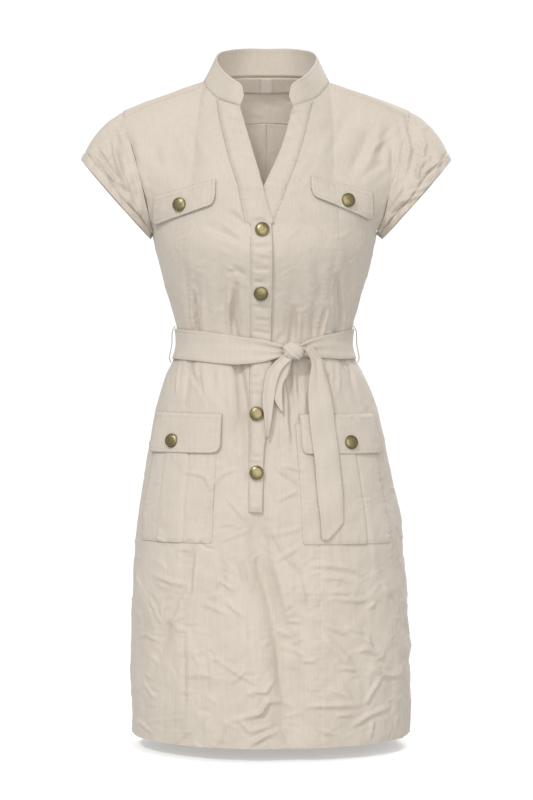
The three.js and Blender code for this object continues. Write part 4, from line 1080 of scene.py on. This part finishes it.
def back_panel(side):
    sign = SIDES[side]
    zs = np.linspace(HEM_Z, ARMPIT_Z, 222)
    vs = np.linspace(0, 1, 60)
    columns = runs((0, 1, 78), (1, 90 / ARMHOLE_DEG, 8))
    d, z = mesh_grid(sign * (180 - columns * ARMHOLE_DEG), zs)
    u, v = mesh_grid(np.minimum(columns, 1), vs[1:])
    base = np.concatenate([trunk(d, z), upper_back(side, u, v)], axis=1)
    rows = np.concatenate([np.zeros(len(zs)), vs[1:]])
    c, v = mesh_grid(middles(columns), middles(rows))
    keep = (c < 1) | (v == 0)
    c, v = mesh_grid(columns, rows)

    def extra(points, number):
        lift = seam_pucker(points[..., 2], points[..., 0] * sign - 2.5) * np.exp(-points[..., 0] ** 2 / 900)
        return lift + np.where(v == 0, hem_relief(points), 0) - 0.6 * (c == 0) - 0.9 * (v > 0.985)

    return cloth_piece(f"panel_back_{side}", [base], f"back_{side}", extra=extra, keeps=[keep])


def back_yoke():
    """The yoke of the back, and the two strips by which it reaches over the shoulders."""
    u, v = mesh_grid(np.linspace(-1, 1, YOKE_COLUMNS + 1), np.linspace(-0.03, 1, 38))
    blocks = [yoke(u, np.clip(v, 0, 1))]
    a, b = mesh_grid(np.linspace(0.5, 1, 44), np.linspace(0, 1, 8))
    for side in SIDES:
        blocks.append(chest(side, a, 1 - (1 - b) * (strip_share(2 * a) + 0.006)))

    def extra(points, number):
        if number:
            return 0.5 + seam_pucker(points[..., 0], b * 9 - 2.5, 6, 0.25)
        neck = np.abs(u) < 0.5
        lift = 0.5 + seam_pucker(points[..., 0], (v - 0.03) * 70)
        return lift + neck * seam_pucker(points[..., 0], (v - 0.95) * 70, 6, 0.2)

    return cloth_piece("yoke_back", blocks, "back_yoke", from_shoulders, extra=extra, weld=0.5)


def collar():
    rows = np.arange(len(NECK))
    s, t = mesh_grid(np.linspace(-1, 1, 161) * (len(NECK) - 1), np.linspace(0.01, 1, 17))
    sign = np.where(s < 0, -1.0, 1.0)[..., None] * np.array([1, 0, 0]) + np.array([0, 1, 1])
    seam = smooth(rows, NECK, np.abs(s)) * sign
    rim = smooth(rows, COLLAR_RIM, np.abs(s)) * sign
    base = seam + (rim - seam) * t[..., None]

    def extra(points, number):
        near_rim = (1 - t) * 36
        length = s * 21
        ends = (len(NECK) - 1 - np.abs(s)) * 10
        lift = seam_pucker(length, near_rim - 4, 7, 0.2) + seam_pucker(length, t * 36 - 3, 6, 0.25)
        lift += seam_pucker(t * 36, ends - 4, 6, 0.15)
        return lift - 0.7 * np.exp(-near_rim / 1.2)

    return cloth_piece("collar_band", [base], "collar", extra=extra, thick=1.8, crumple=0.6)


def placket(side, name, node, outer):
    zs = np.linspace(PLACKET_END_Z if side == "left" else SLIT_END_Z + 12, ARMPIT_Z,
                     PLACKET_ROWS[0] + 1)
    across = np.linspace(0, 1, 15)
    a, z = mesh_grid(across, zs)
    lines = at_row(PLACKET_LINES, z)
    if side == "left":
        x = lines[..., 1] + (lines[..., 2] - lines[..., 1]) * a
    else:
        x = lines[..., 0] - 5 + (lines[..., 1] - 1 - lines[..., 0] + 5) * a
    low = trunk(deg_at(x, z), z)
    a2, v = mesh_grid(across, np.linspace(0, NECK_EDGE, PLACKET_ROWS[1] + 1))
    wide = np.linalg.norm(chest(side, np.ones_like(v), v) - chest(side, np.zeros_like(v), v), axis=-1)
    keys = np.arange(len(V_BANDS[side]))
    bands = smooth(keys / keys[-1], V_BANDS[side], v)
    u = (-bands[..., 0] + (bands[..., 1] + bands[..., 0]) * a2) / wide
    high = chest(side, u, v)
    base = np.concatenate([low, high[:, 1:]], axis=1)
    b = np.repeat(across[:, None], base.shape[1], axis=1)

    def extra(points, number):
        z = points[..., 2]
        sewn, free = (1 - b) * PLACKET_WIDE, b * PLACKET_WIDE
        lift = seam_pucker(z, sewn - 2.5, 7, 0.35) + seam_pucker(z, free - 2.5, 6, 0.3)
        lift -= (outer + WALL - 0.3) * bell(sewn, 3.5)
        if side == "left":
            across = np.sin(np.pi * b)
            for _, _, snap_z, _ in PLACKET_SNAPS:
                gap = np.abs(z - snap_z)
                lift += 0.9 * bell(gap - 30, 6) * across - 0.6 * bell(gap, 12)
            lift += 0.5 * np.sin(z / 3.1) * across * bell(z + 260, 60)
            for above_end in PLACKET_END_STITCHES:
                lift += seam_pucker(free, z - PLACKET_END_Z - above_end, 5, 0.2)
        return lift

    return cloth_piece(name, [base], node, extra=extra, outer=outer + WALL, thick=1.1)


def rounded_drop(wide, deep, radius, across):
    """Share of its depth that a flap with rounded corners reaches, by the share of its width."""
    edge = np.minimum(across, 1 - across) * wide
    inside = np.clip(radius - edge, 0, radius)
    return 1 - (radius - np.sqrt(radius ** 2 - inside ** 2)) / deep


def skirt_patch(name, node, spec, columns, rows, outer, extra, thick=1.0):
    a, b = unit_grid(columns + 1, rows + 1)
    top = spec["top"][0] + (spec["top"][1] - spec["top"][0]) * a
    bottom = spec["bottom"][0] + (spec["bottom"][1] - spec["bottom"][0]) * a
    wide = abs(spec["outer"] - spec["inner"])
    drop = rounded_drop(wide, top - bottom, spec["round"], a) * b
    z = top + (bottom - top) * drop
    level = (top + bottom) / 2
    first, last = deg_at(spec["inner"], level), deg_at(spec["outer"], level)
    base = trunk_base(first + (last - first) * a, z)
    return cloth_piece(name, [base], node, outer=outer + WALL, thick=thick,
                       extra=lambda points, number: extra(a, b, points, wide))


def flap_relief(a, b, points, wide, deep=FLAP_DEEP, lay=LAY * 2 + WALL + 0.4):
    lift = seam_pucker(a * wide, b * deep - 6, 7, 0.25)
    lift += seam_pucker(a * wide, (1 - b) * deep - 5, 7, 0.25) + edge_puckers(b * deep, a, wide, 5, size=0.2)
    edge = np.minimum(np.minimum(a, 1 - a) * wide, (1 - b) * deep)
    lift += 0.5 * np.sin(a * wide / 11) * b - lay * bell(b * deep, 2.6)
    return lift + 1.3 * b ** 2 - 0.5 * np.exp(-edge / 0.8)


def pocket_relief(a, b, points, wide):
    down, up = b * POCKET_DEEP, (1 - b) * POCKET_DEEP
    lift = edge_puckers(down, a, wide, 3) + seam_pucker(a * wide, up - 3, 7, 0.25)
    pleat = (a - 0.5) * wide
    fold = 15
    step = 1 / (1 + np.exp(-(np.abs(pleat) - fold) * 1.6))
    deeper = 1 + 0.55 * np.sign(pleat) * np.sign(points[0, 0, 0])
    lift += 1.1 * (1 - step) - deeper * bell(np.abs(pleat) - fold - 0.8, 1.3)
    edge = np.minimum(np.minimum(a, 1 - a) * wide, up)
    return lift - (LAY + WALL - 0.95) * bell(edge, 3)


def chest_at(side, x, z):
    """Shares u and v of the chest at which it has this x and z, by closer and closer steps."""
    u, v = np.full(x.shape, 0.5), np.full(x.shape, 0.3)
    step = 1e-3
    for _ in range(14):
        here = chest(side, u, v)
        du = (chest(side, u + step, v) - here) / step
        dv = (chest(side, u, v + step) - here) / step
        dx, dz = x - here[..., 0], z - here[..., 2]
        det = du[..., 0] * dv[..., 2] - dv[..., 0] * du[..., 2]
        u = u + (dx * dv[..., 2] - dv[..., 0] * dz) / det
        v = v + (du[..., 0] * dz - dx * du[..., 2]) / det
    return u, v


def chest_flap(side):
    spec = CHEST_FLAPS[side]
    a, b = unit_grid(41, 19)
    x = spec["inner"][0] + (spec["outer"][0] - spec["inner"][0]) * a
    top = spec["inner"][1] + (spec["outer"][1] - spec["inner"][1]) * a
    deep = spec["depth"][0] + (spec["depth"][1] - spec["depth"][0]) * a
    wide = abs(spec["outer"][0] - spec["inner"][0])
    z = top - rounded_drop(wide, deep, spec["round"], a) * b * deep
    u, v = chest_at(side, x, np.maximum(z, ARMPIT_Z + 1))
    base = chest(side, u, v)

    def extra(points, number):
        return flap_relief(a, b, points, wide, CHEST_FLAP_DEEP, CHEST_LAY + WALL - 0.6)

    return cloth_piece(f"flap_chest_{side}", [base], f"chest_flap_{side}", outer=CHEST_LAY + WALL, thick=1.1,
                       extra=extra)


def calm_under_arm(a):
    """1 along the sleeve and 0 under the arm, where its creases and its turned edge die away."""
    return np.clip(np.sin(np.pi * a) * 3 - 0.3, 0, 1)


def cuff_unevenness(a):
    around = a * SLEEVE_ROUND
    return 1.6 * np.sin(around / 23 + 1) + 1.1 * np.sin(around / 9.7)


def closed(lift):
    """The same relief at the first and the last column of a loop."""
    lift[0] = lift[-1] = (lift[0] + lift[-1]) / 2
    return lift


def sleeve_piece(side):
    """The cap sleeve, and its edge turned up over it."""
    a, b = unit_grid(171, 50)
    hub = sleeve_frame(SIDES[side])[0] * 0.75 + np.array([SIDES[side] * 190, 0, -100]) * 0.25
    strong = 1.6 if side == "right" else 1.0
    calm = calm_under_arm(a)

    def outward(points):
        return points - hub

    def cap_extra(points, number):
        length = np.sin(np.pi * a) * SLEEVE_LONG
        down = b * np.maximum(length, 8)
        around = a * SLEEVE_ROUND
        gather = np.sin(around / 1.55 + 1.3 * np.sin(around / 11)) * 0.55 + np.sin(around / 3.1 + 1) * 0.5
        head = bell(a - 0.5, 0.2)
        lift = gather * strong * head * np.exp(-down / 16) + 3.0 * head * np.sin(np.pi * b)
        lift += seam_pucker(around, down - 3, 6, 0.2) * calm
        tip = bell(a - 0.5, 0.1)
        beside = (1 - b) * length - CUFF_WIDTH - 0.5 - cuff_unevenness(a)
        return closed(lift - 1.8 * bell(beside, 2.4) * calm * (1 - 0.8 * tip))

    base = sleeve(side, a, b)
    base[-1] = base[0]
    cloth_piece(f"sleeve_cap_{side}", [base], f"sleeve_{side}", outward, extra=cap_extra, weld=0.3,
                crumple=calm)

    a, calm = a[:, :CUFF_ROWS], calm[:, :CUFF_ROWS]
    b = np.linspace(0, 1, CUFF_ROWS)[None, :]
    length = SLEEVE_LONG * np.sin(np.pi * a)
    share = np.minimum(CUFF_WIDTH + cuff_unevenness(a), length * 0.55 + 4) / np.maximum(length, 8)
    turned = sleeve(side, a, 1 - np.clip(share, 0.1, 0.55) * (1 - b))
    turned[-1] = turned[0]

    def cuff_extra(points, number):
        around = a * CUFF_ROUND
        wave = np.sin(around / 8.3 + 2 * np.sin(around / 31)) * 1.5 + np.sin(around / 3.9 + b * 3) * 0.8
        tip = bell(a - 0.5, 0.12)
        lift = (wave * (1 - 0.6 * tip) + 0.9) * (1 - 0.8 * b) * calm - 0.9 * tip - 1.7 * (1 - calm)
        return closed(lift + seam_pucker(around, (1 - b) * CUFF_WIDTH - 2, 6, 0.25) * calm)

    cloth_piece(f"sleeve_cuff_{side}", [turned], f"cuff_{side}", outward, outer=LAY + 0.2 + WALL, thick=1.1,
                extra=cuff_extra, weld=0.3, crumple=calm)


def belt_surface(deg, share, off=0.0):
    edge = at_row(BELT_EDGES, deg)
    z = edge[..., 1] + (edge[..., 0] - edge[..., 1]) * share
    waist = z + (WAIST_Z - z) * 0.6
    base, point = trunk_base(deg, z), trunk_base(deg, waist)
    point[..., 2] = z
    out = np.stack([base[..., 0] + 3, base[..., 1] * 1.2, np.zeros_like(z)], -1)
    out /= np.linalg.norm(out, axis=-1, keepdims=True)
    proud = np.maximum(0, np.sum((base - point) * out, axis=-1))
    return point + out * (proud + edge[..., 2] + off)[..., None]


def belt_band():
    d, t = mesh_grid(np.linspace(-180, 180, 321), np.linspace(0, 1, 19))
    base = belt_surface(d, t, BELT_THICK)
    base[-1] = base[0]

    def extra(points, number):
        near = np.exp(-np.abs(d - 17) / 17)
        pleats = np.sin(t * 16 + 0.9 * np.sin(d / 9)) * 2.3 + np.sin(t * 7.4 + d / 14) * 1.3
        lift = pleats * near + 0.6 * np.sin(d / 6.3 + t * 4) * np.sin(d / 17)
        lift += 0.5 * np.sin(d / 2.9 - t * 5) * near
        lift += edge_puckers(d * 1.9, t, BELT_WIDE, 3, size=0.15)
        return closed(lift) + 0.3

    return cloth_piece("belt_band_tied", [base], "belt_band", extra=extra, thick=1.3, crumple=0.25, weld=0.3,
                       material=belt_look)


def belt_knot():
    """The tied knot: a rounded lump wrapped by one slanting, pleated turn of the belt."""
    centre = knot_centre()
    bm = bmesh.new()
    bmesh.ops.create_uvsphere(bm, u_segments=72, v_segments=48, radius=1)
    size = np.array([KNOT["wide"], KNOT["deep"], KNOT["tall"]]) / 2
    for vert in bm.verts:
        p = np.array(vert.co)
        q = np.sign(p) * np.abs(p) ** 0.86
        slant = p[0] * 0.62 + p[2] * 0.78
        run = p[0] * 0.78 - p[2] * 0.62
        wrap = 1 / (1 + math.exp(-(0.62 - abs(slant - 0.1)) * 16))
        pleats = 0.034 * math.sin(slant * 14 + 0.8 * math.sin(run * 3)) * (0.35 + wrap)
        ends = 0.05 * math.sin(run * 11 + slant * 2) * (1 - wrap)
        vert.co = (centre + q * size * (0.93 + 0.09 * wrap + pleats + ends)) * MM
    finish_piece("belt_knot_tied", bm, belt_look, "belt_knot")


def knot_centre():
    level = np.array([float(KNOT["z"])])
    deg = deg_at(KNOT["x"], level)
    base = trunk_base(deg, level)[0]
    half, front, _, middle = ring(level)[:, 0]
    out = np.array([(base[0] - middle) / half ** 2, base[1] / front ** 2, 0])
    out /= np.linalg.norm(out)
    off = smooth(BELT_EDGES[:, 0], BELT_EDGES[:, 3], deg)[0]
    return base + out * (off + BELT_THICK + 0.3 + KNOT["deep"] / 2 + KNOT["clear"])


def belt_tail(name, node, table, across, down, extra):
    a, z = mesh_grid(np.linspace(0, 1, across + 1), np.linspace(table[-1, 0], table[0, 0], down + 1))
    rows = at_row(table, z)
    x = rows[..., 0] + (rows[..., 1] - rows[..., 0]) * a
    base = trunk_base(deg_at(x, z), z)
    out = from_axis(base)
    out /= np.linalg.norm(out, axis=-1, keepdims=True)
    base = base + out * rows[..., 2:3]
    b = (table[-1, 0] - z) / (table[-1, 0] - table[0, 0])
    return cloth_piece(name, [base], node, outer=BELT_THICK, thick=1.4, crumple=0.3, material=belt_look,
                       extra=lambda points, number: extra(a, b, z))


def right_tail_relief(a, b, z):
    lift = np.exp(-b * 7) * (2.2 * np.sin(a * 9 + 0.4) + 1.0)
    lift += edge_puckers(z, a, BELT_END_WIDE, 3, size=0.2)
    return lift + 0.9 * np.sin(z / 21 + a * 2.6) + 0.5 * np.sin(z / 9.5 - a * 3)


def tail_fold_relief(a, b, z):
    return 0.8 * np.sin(a * 4 + z / 15)


def left_tail_relief(a, b, z):
    return 1.6 * np.sin(a * 5.2 + z / 40) + 0.8 * np.sin(z / 12 + a * 2)


def snap_cap(place, seat, normal, radius):
    """Domed cap with a rolled rim, spun round its own axis and turned a little to the front."""
    bm = bmesh.new()
    verts = [bm.verts.new((r * radius, 0, CAP_RISE - down)) for r, down in CAP_PROFILE]
    edges = [bm.edges.new(pair) for pair in zip(verts[:-1], verts[1:])]
    bmesh.ops.spin(bm, geom=verts + edges, axis=(0, 0, 1), cent=(0, 0, 0), angle=math.tau, steps=40,
                   use_merge=True, use_duplicate=False)
    bmesh.ops.remove_doubles(bm, verts=bm.verts, dist=0.01)
    close_up(bm)
    facing = (Vector(normal) + Vector((0, -0.6, 0.05))).normalized()
    turn = Vector((0, 0, 1)).rotation_difference(facing).to_matrix().to_4x4()
    seat = Vector(seat) * MM
    bmesh.ops.transform(bm, matrix=Matrix.Translation(seat) @ turn @ Matrix.Scale(MM, 4), verts=bm.verts)
    worn = bm.verts.layers.float.new("worn")
    for vert in bm.verts:
        offset = vert.co - seat
        r = (offset - facing * offset.dot(facing)).length / (radius * MM)
        groove = bell(r - 0.89, 0.04)
        rim = bell(r - 0.945, 0.03)
        vert[worn] = 0.42 + 0.2 * rim - 0.35 * groove - (0.3 if r > 0.985 else 0)
    piece = finish_piece(f"snap_{place}", bm, brass_look, f"button_{place}")
    rounding = piece.modifiers.new("rounding", "BEVEL")
    rounding.width = 0.25 * MM
    rounding.segments = 2
    rounding.limit_method = "ANGLE"


def close_up(bm):
    """Fills the open ends of a shell and turns its faces outwards."""
    bmesh.ops.holes_fill(bm, edges=[e for e in bm.edges if e.is_boundary], sides=0)
    bmesh.ops.recalc_face_normals(bm, faces=bm.faces)


def belt_loop(side):
    """Twisted thread that stands out round the belt, sewn down above and below it."""
    sign = SIDES[side]
    heights = np.array([-331, -338, -356, -374, -381], float)
    offs = np.array([1.3, 6.5, 8.5, 6.5, 1.3])
    a, b = unit_grid(9, 61)
    centre = trunk_base(np.full(5, sign * 90.0), heights)
    centre[:, 0] += sign * offs
    line = along(centre, b)
    angle = a * math.tau + b * 40
    radius = 0.8 + 0.12 * np.sin(b * 150)
    base = line + np.stack([np.cos(angle) * radius, np.sin(angle) * radius, np.zeros_like(angle)], -1)
    base[-1] = base[0]
    bm = bmesh.new()
    add_grid(bm, base, lay_of(base), False)
    bmesh.ops.remove_doubles(bm, verts=bm.verts, dist=0.001 * MM)
    close_up(bm)
    finish_piece(f"loop_belt_{side}", bm, thread_look, f"belt_loop_{side}")


def neck_inside():
    """The facing strip and the blank tag inside the back of the neck."""
    inside = -WALL - CHEST_LAY
    v = np.linspace(NECK_EDGE - FACING_SHARE, NECK_EDGE, 10)
    strip = yoke(*mesh_grid(np.linspace(-5 / 12, 5 / 12, 61), v))
    cloth_piece("facing_neck", [strip], "neck_facing", from_shoulders, outer=inside, thick=0.8, crumple=0.5)
    v = np.linspace(NECK_EDGE - FACING_SHARE * 0.96, NECK_EDGE, 14)
    tape = yoke(*mesh_grid(np.linspace(-0.03, 0.03, 9), v))
    cloth_piece("tag_neck", [tape], "neck_tag", from_shoulders, outer=inside - LAY - 0.8, thick=0.5,
                crumple=0.3, material=tag_look)


# Stitches

class Stitching:
    """Many small stitches joined in one mesh."""

    def __init__(self, name):
        self.name = name
        self.bm = bmesh.new()

    def run(self, points, normals):
        lengths = np.concatenate([[0], np.cumsum(np.linalg.norm(np.diff(points, axis=0), axis=1))])
        marks = np.arange(PITCH / 2, lengths[-1] - PITCH / 2, PITCH)

        def at(rows, marks):
            return np.stack([np.interp(marks, lengths, rows[:, k]) for k in range(3)], -1)

        for p, q, n in zip(at(points, marks), at(points, marks + 0.5), at(normals, marks)):
            ahead = Vector(q - p).normalized()
            across = Vector(n).normalized().cross(ahead).normalized()
            axes = (ahead, across, ahead.cross(across))
            turn = Matrix([axis * size for axis, size in zip(axes, STITCH)]).transposed().to_4x4()
            place = Matrix.Translation(Vector(p + n * STITCH_LIFT)) @ turn
            bmesh.ops.create_cube(self.bm, size=1, matrix=Matrix.Scale(MM, 4) @ place)

    def columns(self, surface, *shares):
        """Lines of stitches down a surface, at shares of its width."""
        points, normals = surface
        for share in shares:
            i = share * (len(points) - 1)
            low = min(int(i), len(points) - 2)
            t = i - low
            self.run(points[low] * (1 - t) + points[low + 1] * t, normals[low])

    def rows(self, surface, *shares):
        """Lines of stitches across a surface, at shares of its height."""
        self.columns([grid.swapaxes(0, 1) for grid in surface], *shares)

    def finish(self):
        finish_piece(self.name, self.bm, thread_look, smooth_shade=False)


# Make the dress

centre_surfaces = front_centre()
front_stitches = Stitching("stitches_front")
back_stitches = Stitching("stitches_back")
trim_stitches = Stitching("stitches_trim")

for side, centre_surface in zip(SIDES, centre_surfaces):
    count, outer_count = SIDE_COLUMNS[side]
    seam = count / (count + outer_count)
    below_flap = [grid[:, : len(TRUNK_ZS) + FLAP_ROWS] for grid in centre_surface]
    front_stitches.columns(below_flap, *(seam * (1 - inset / PANEL_WIDE[side]) for inset in SEAM_STITCHES))
    front_side(side)
    back_stitches.columns(back_panel(side)[0], 0.012, 0.035)
    sleeve_piece(side)
    surface, = chest_flap(side)
    trim_stitches.rows(surface, 0.16, 0.86)
    trim_stitches.columns(surface, 0.06, 0.94)
    surface, = skirt_patch(f"pocket_hip_{side}", f"hip_pocket_{side}", HIP_POCKETS[side], 64, 84, LAY,
                           pocket_relief)
    trim_stitches.rows(surface, 0.98)
    trim_stitches.columns(surface, 0.03, 0.97)
    surface, = skirt_patch(f"flap_hip_{side}", f"hip_flap_{side}", HIP_FLAPS[side], 44, 22, LAY * 2 + WALL,
                           flap_relief)
    trim_stitches.rows(surface, 0.12, 0.9)
    trim_stitches.columns(surface, 0.055, 0.945)
    belt_loop(side)

yoke_surface, *strips = back_yoke()
back_stitches.rows(yoke_surface, 0.06)
quarter = YOKE_COLUMNS // 4
back_stitches.rows([grid[quarter:-quarter] for grid in yoke_surface], 0.95)
for strip in strips:
    back_stitches.rows(strip, 0.3)
trim_stitches.rows(collar()[0], 0.08, 0.9)
surface, = placket("right", "placket_lower", "placket_under", LAY)
trim_stitches.columns([grid[:, PLACKET_ROWS[0]:] for grid in surface], 0.93, 0.09)
surface, = placket("left", "placket_upper", "placket_over", LAY * 3 + WALL)
trim_stitches.columns(surface, 0.92, 0.09)
trunk_share = PLACKET_ROWS[0] / sum(PLACKET_ROWS) / (ARMPIT_Z - PLACKET_END_Z)
trim_stitches.rows(surface, *(above_end * trunk_share for above_end in PLACKET_END_STITCHES))
trim_stitches.rows(belt_band()[0], 0.08, 0.92)
belt_knot()
belt_tail("belt_end_left", "belt_tail_left", TAIL_LEFT, 8, 50, left_tail_relief)
belt_tail("belt_end_left_fold", None, TAIL_FOLD, 6, 32, tail_fold_relief)
surface, = belt_tail("belt_end_right", "belt_tail_right", TAIL_RIGHT, 16, 96, right_tail_relief)
trim_stitches.columns(surface, 0.09, 0.91)
neck_inside()


def unit_normal(surface, a, b):
    step = 0.01
    du = surface(a + step, b) - surface(a - step, b)
    dv = surface(a, b + step) - surface(a, b - step)
    n = np.cross(du, dv)[0]
    n /= np.linalg.norm(n)
    return n if n[1] < 0 else -n


def seat_snap(place, x, z, radius, lift, side=None):
    """Sets a snap on the chest of a side, or else on the trunk."""
    x, z = np.array([float(x)]), np.array([float(z)])
    if side:
        u, v = chest_at(side, x, z)
        point = chest(side, u, v)[0]
        normal = unit_normal(lambda a, b: chest(side, a, b), u, v)
    else:
        deg = deg_at(x, z)
        point = trunk_base(deg, z)[0]
        normal = unit_normal(lambda a, b: trunk_base(a * 100, b * 1000), deg / 100, z / 1000)
    raised = relief(point[None, None, :])[0, 0] * 0.7
    snap_cap(place, point + normal * (lift + raised), normal, radius)


for snap in PLACKET_SNAPS:
    seat_snap(*snap, LAY * 3 + WALL * 2 + 0.4)
for side, snap in zip(SIDES, CHEST_SNAPS):
    seat_snap(*snap, CHEST_LAY + WALL + 0.5, side)
for snap in HIP_SNAPS:
    seat_snap(*snap, LAY * 2 + WALL * 2 + 0.5)
for stitching in (front_stitches, back_stitches, trim_stitches):
    stitching.finish()


# Every sheet of cloth: its cut's width, length and area, how it is held and what it rests on
FRONT = ("panel_front_centre", "panel_front_side_left", "panel_front_side_right")
SHEETS = {
    "panel_front_centre": (0.4, 0.9, 0.195, "hung", ("yoke_back",)),
    "panel_front_side_left": (0.16, 0.74, 0.083, "hung", ("panel_front_centre",)),
    "panel_front_side_right": (0.205, 0.74, 0.113, "hung", ("panel_front_centre",)),
    "panel_back_left": (0.27, 0.85, 0.185, "hung", ("yoke_back",)),
    "panel_back_right": (0.27, 0.85, 0.185, "hung", ("yoke_back",)),
    "yoke_back": (0.42, 0.15, 0.045, "hung", ()),
    "collar_band": (0.41, 0.042, 0.016, "hung", ("yoke_back",)),
    "placket_lower": (0.03, 0.53, 0.0115, "laid", ("panel_front_centre",)),
    "placket_upper": (0.042, 0.56, 0.018, "laid", ("panel_front_centre",)),
    "sleeve_cap_left": (0.48, 0.09, 0.0215, "hung", ("yoke_back",)),
    "sleeve_cap_right": (0.48, 0.09, 0.0215, "hung", ("yoke_back",)),
    "sleeve_cuff_left": (0.43, 0.0125, 0.0042, "hung", ("sleeve_cap_left",)),
    "sleeve_cuff_right": (0.43, 0.0125, 0.0044, "hung", ("sleeve_cap_right",)),
    "flap_chest_left": (0.1, 0.04, 0.0038, "laid", FRONT[:2]),
    "flap_chest_right": (0.09, 0.037, 0.0032, "laid", FRONT[::2]),
    "pocket_hip_left": (0.124, 0.157, 0.0193, "laid", FRONT[:2]),
    "pocket_hip_right": (0.137, 0.158, 0.0214, "laid", FRONT[::2]),
    "flap_hip_left": (0.135, 0.054, 0.007, "laid", ("pocket_hip_left",)),
    "flap_hip_right": (0.135, 0.053, 0.007, "laid", ("pocket_hip_right",)),
    "belt_end_left": (0.02, 0.12, 0.0018, "hung", ("belt_knot_tied",)),
    "belt_end_left_fold": (0.012, 0.075, 0.0008, "hung", ("belt_knot_tied",)),
    "belt_end_right": (0.033, 0.255, 0.0081, "hung", ("belt_knot_tied",)),
    "facing_neck": (0.24, 0.023, 0.0054, "hung", ("yoke_back",)),
    "tag_neck": (0.018, 0.024, 0.0004, "hung", ("facing_neck",)),
}
for name, (wide, long, area, held, under) in SHEETS.items():
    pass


# Floor, light and camera

def floor():
    bm = bmesh.new()
    bmesh.ops.create_circle(bm, cap_ends=True, segments=96, radius=0.62)
    mesh = bpy.data.meshes.new("floor")
    bmesh.ops.translate(bm, verts=bm.verts, vec=(0, 0, FLOOR_Z * MM))
    bm.to_mesh(mesh)
    bm.free()
    piece = bpy.data.objects.new("floor", mesh)
    bpy.context.scene.collection.objects.link(piece)
    look = Look("pale_floor", Base_Color=(0.9, 0.9, 0.9, 1), Emission_Color=(1, 1, 1, 1),
                Emission_Strength=0.32, Roughness=0.9, Specular_IOR_Level=0.1)
    mesh.materials.append(look.material)
    piece.visible_diffuse = False
    piece.visible_glossy = False


def lamp(data, energy):
    data.energy = energy
    piece = bpy.data.objects.new(data.name, data)
    bpy.context.scene.collection.objects.link(piece)
    return piece


def sun(name, turn, climb, strength, softness):
    """Distant soft light; turn is to the viewer's right of the front, climb above the level."""
    data = bpy.data.lights.new(name, "SUN")
    data.angle = math.radians(softness)
    a, e = math.radians(turn), math.radians(climb)
    towards = Vector((math.sin(a) * math.cos(e), -math.cos(a) * math.cos(e), math.sin(e)))
    lamp(data, strength).rotation_euler = towards.to_track_quat("Z", "Y").to_euler()


floor()
world = bpy.data.worlds.new("studio")
bpy.context.scene.world = world
world.use_nodes = True
sky = world.node_tree.nodes["Background"]
sky.inputs["Color"].default_value = (1, 1, 1, 1)
seen = world.node_tree.nodes.new("ShaderNodeLightPath").outputs["Is Camera Ray"]
strength = world.node_tree.nodes.new("ShaderNodeMath")
strength.operation = "MULTIPLY_ADD"
strength.inputs[1].default_value = SKY_SEEN - SKY_LIGHT
strength.inputs[2].default_value = SKY_LIGHT
world.node_tree.links.new(seen, strength.inputs[0])
world.node_tree.links.new(strength.outputs[0], sky.inputs["Strength"])
sun("key", -26, 41, 1.22, 7)
sun("fill", 8, 8, 1.2, 50)
sun("back", 155, 42, 1.3, 20)
inside = bpy.data.lights.new("inside", "POINT")
inside.shadow_soft_size = 0.04
glow = lamp(inside, 0.13)
glow.location = (0, -0.01, -0.055)
glow.visible_camera = False
scene = bpy.context.scene
scene.view_settings.view_transform = "Standard"

camera_data = bpy.data.cameras.new("camera")
camera_data.sensor_width = SENSOR
camera_data.lens = SENSOR * -CAMERA_Y / (PIXEL * PHOTO_HEIGHT)
camera = bpy.data.objects.new("camera", camera_data)
camera.location = (0, CAMERA_Y * MM, CAMERA_Z * MM)
camera.rotation_euler = (math.pi / 2, 0, 0)
scene.collection.objects.link(camera)
scene.camera = camera

bpy.context.view_layer.update()
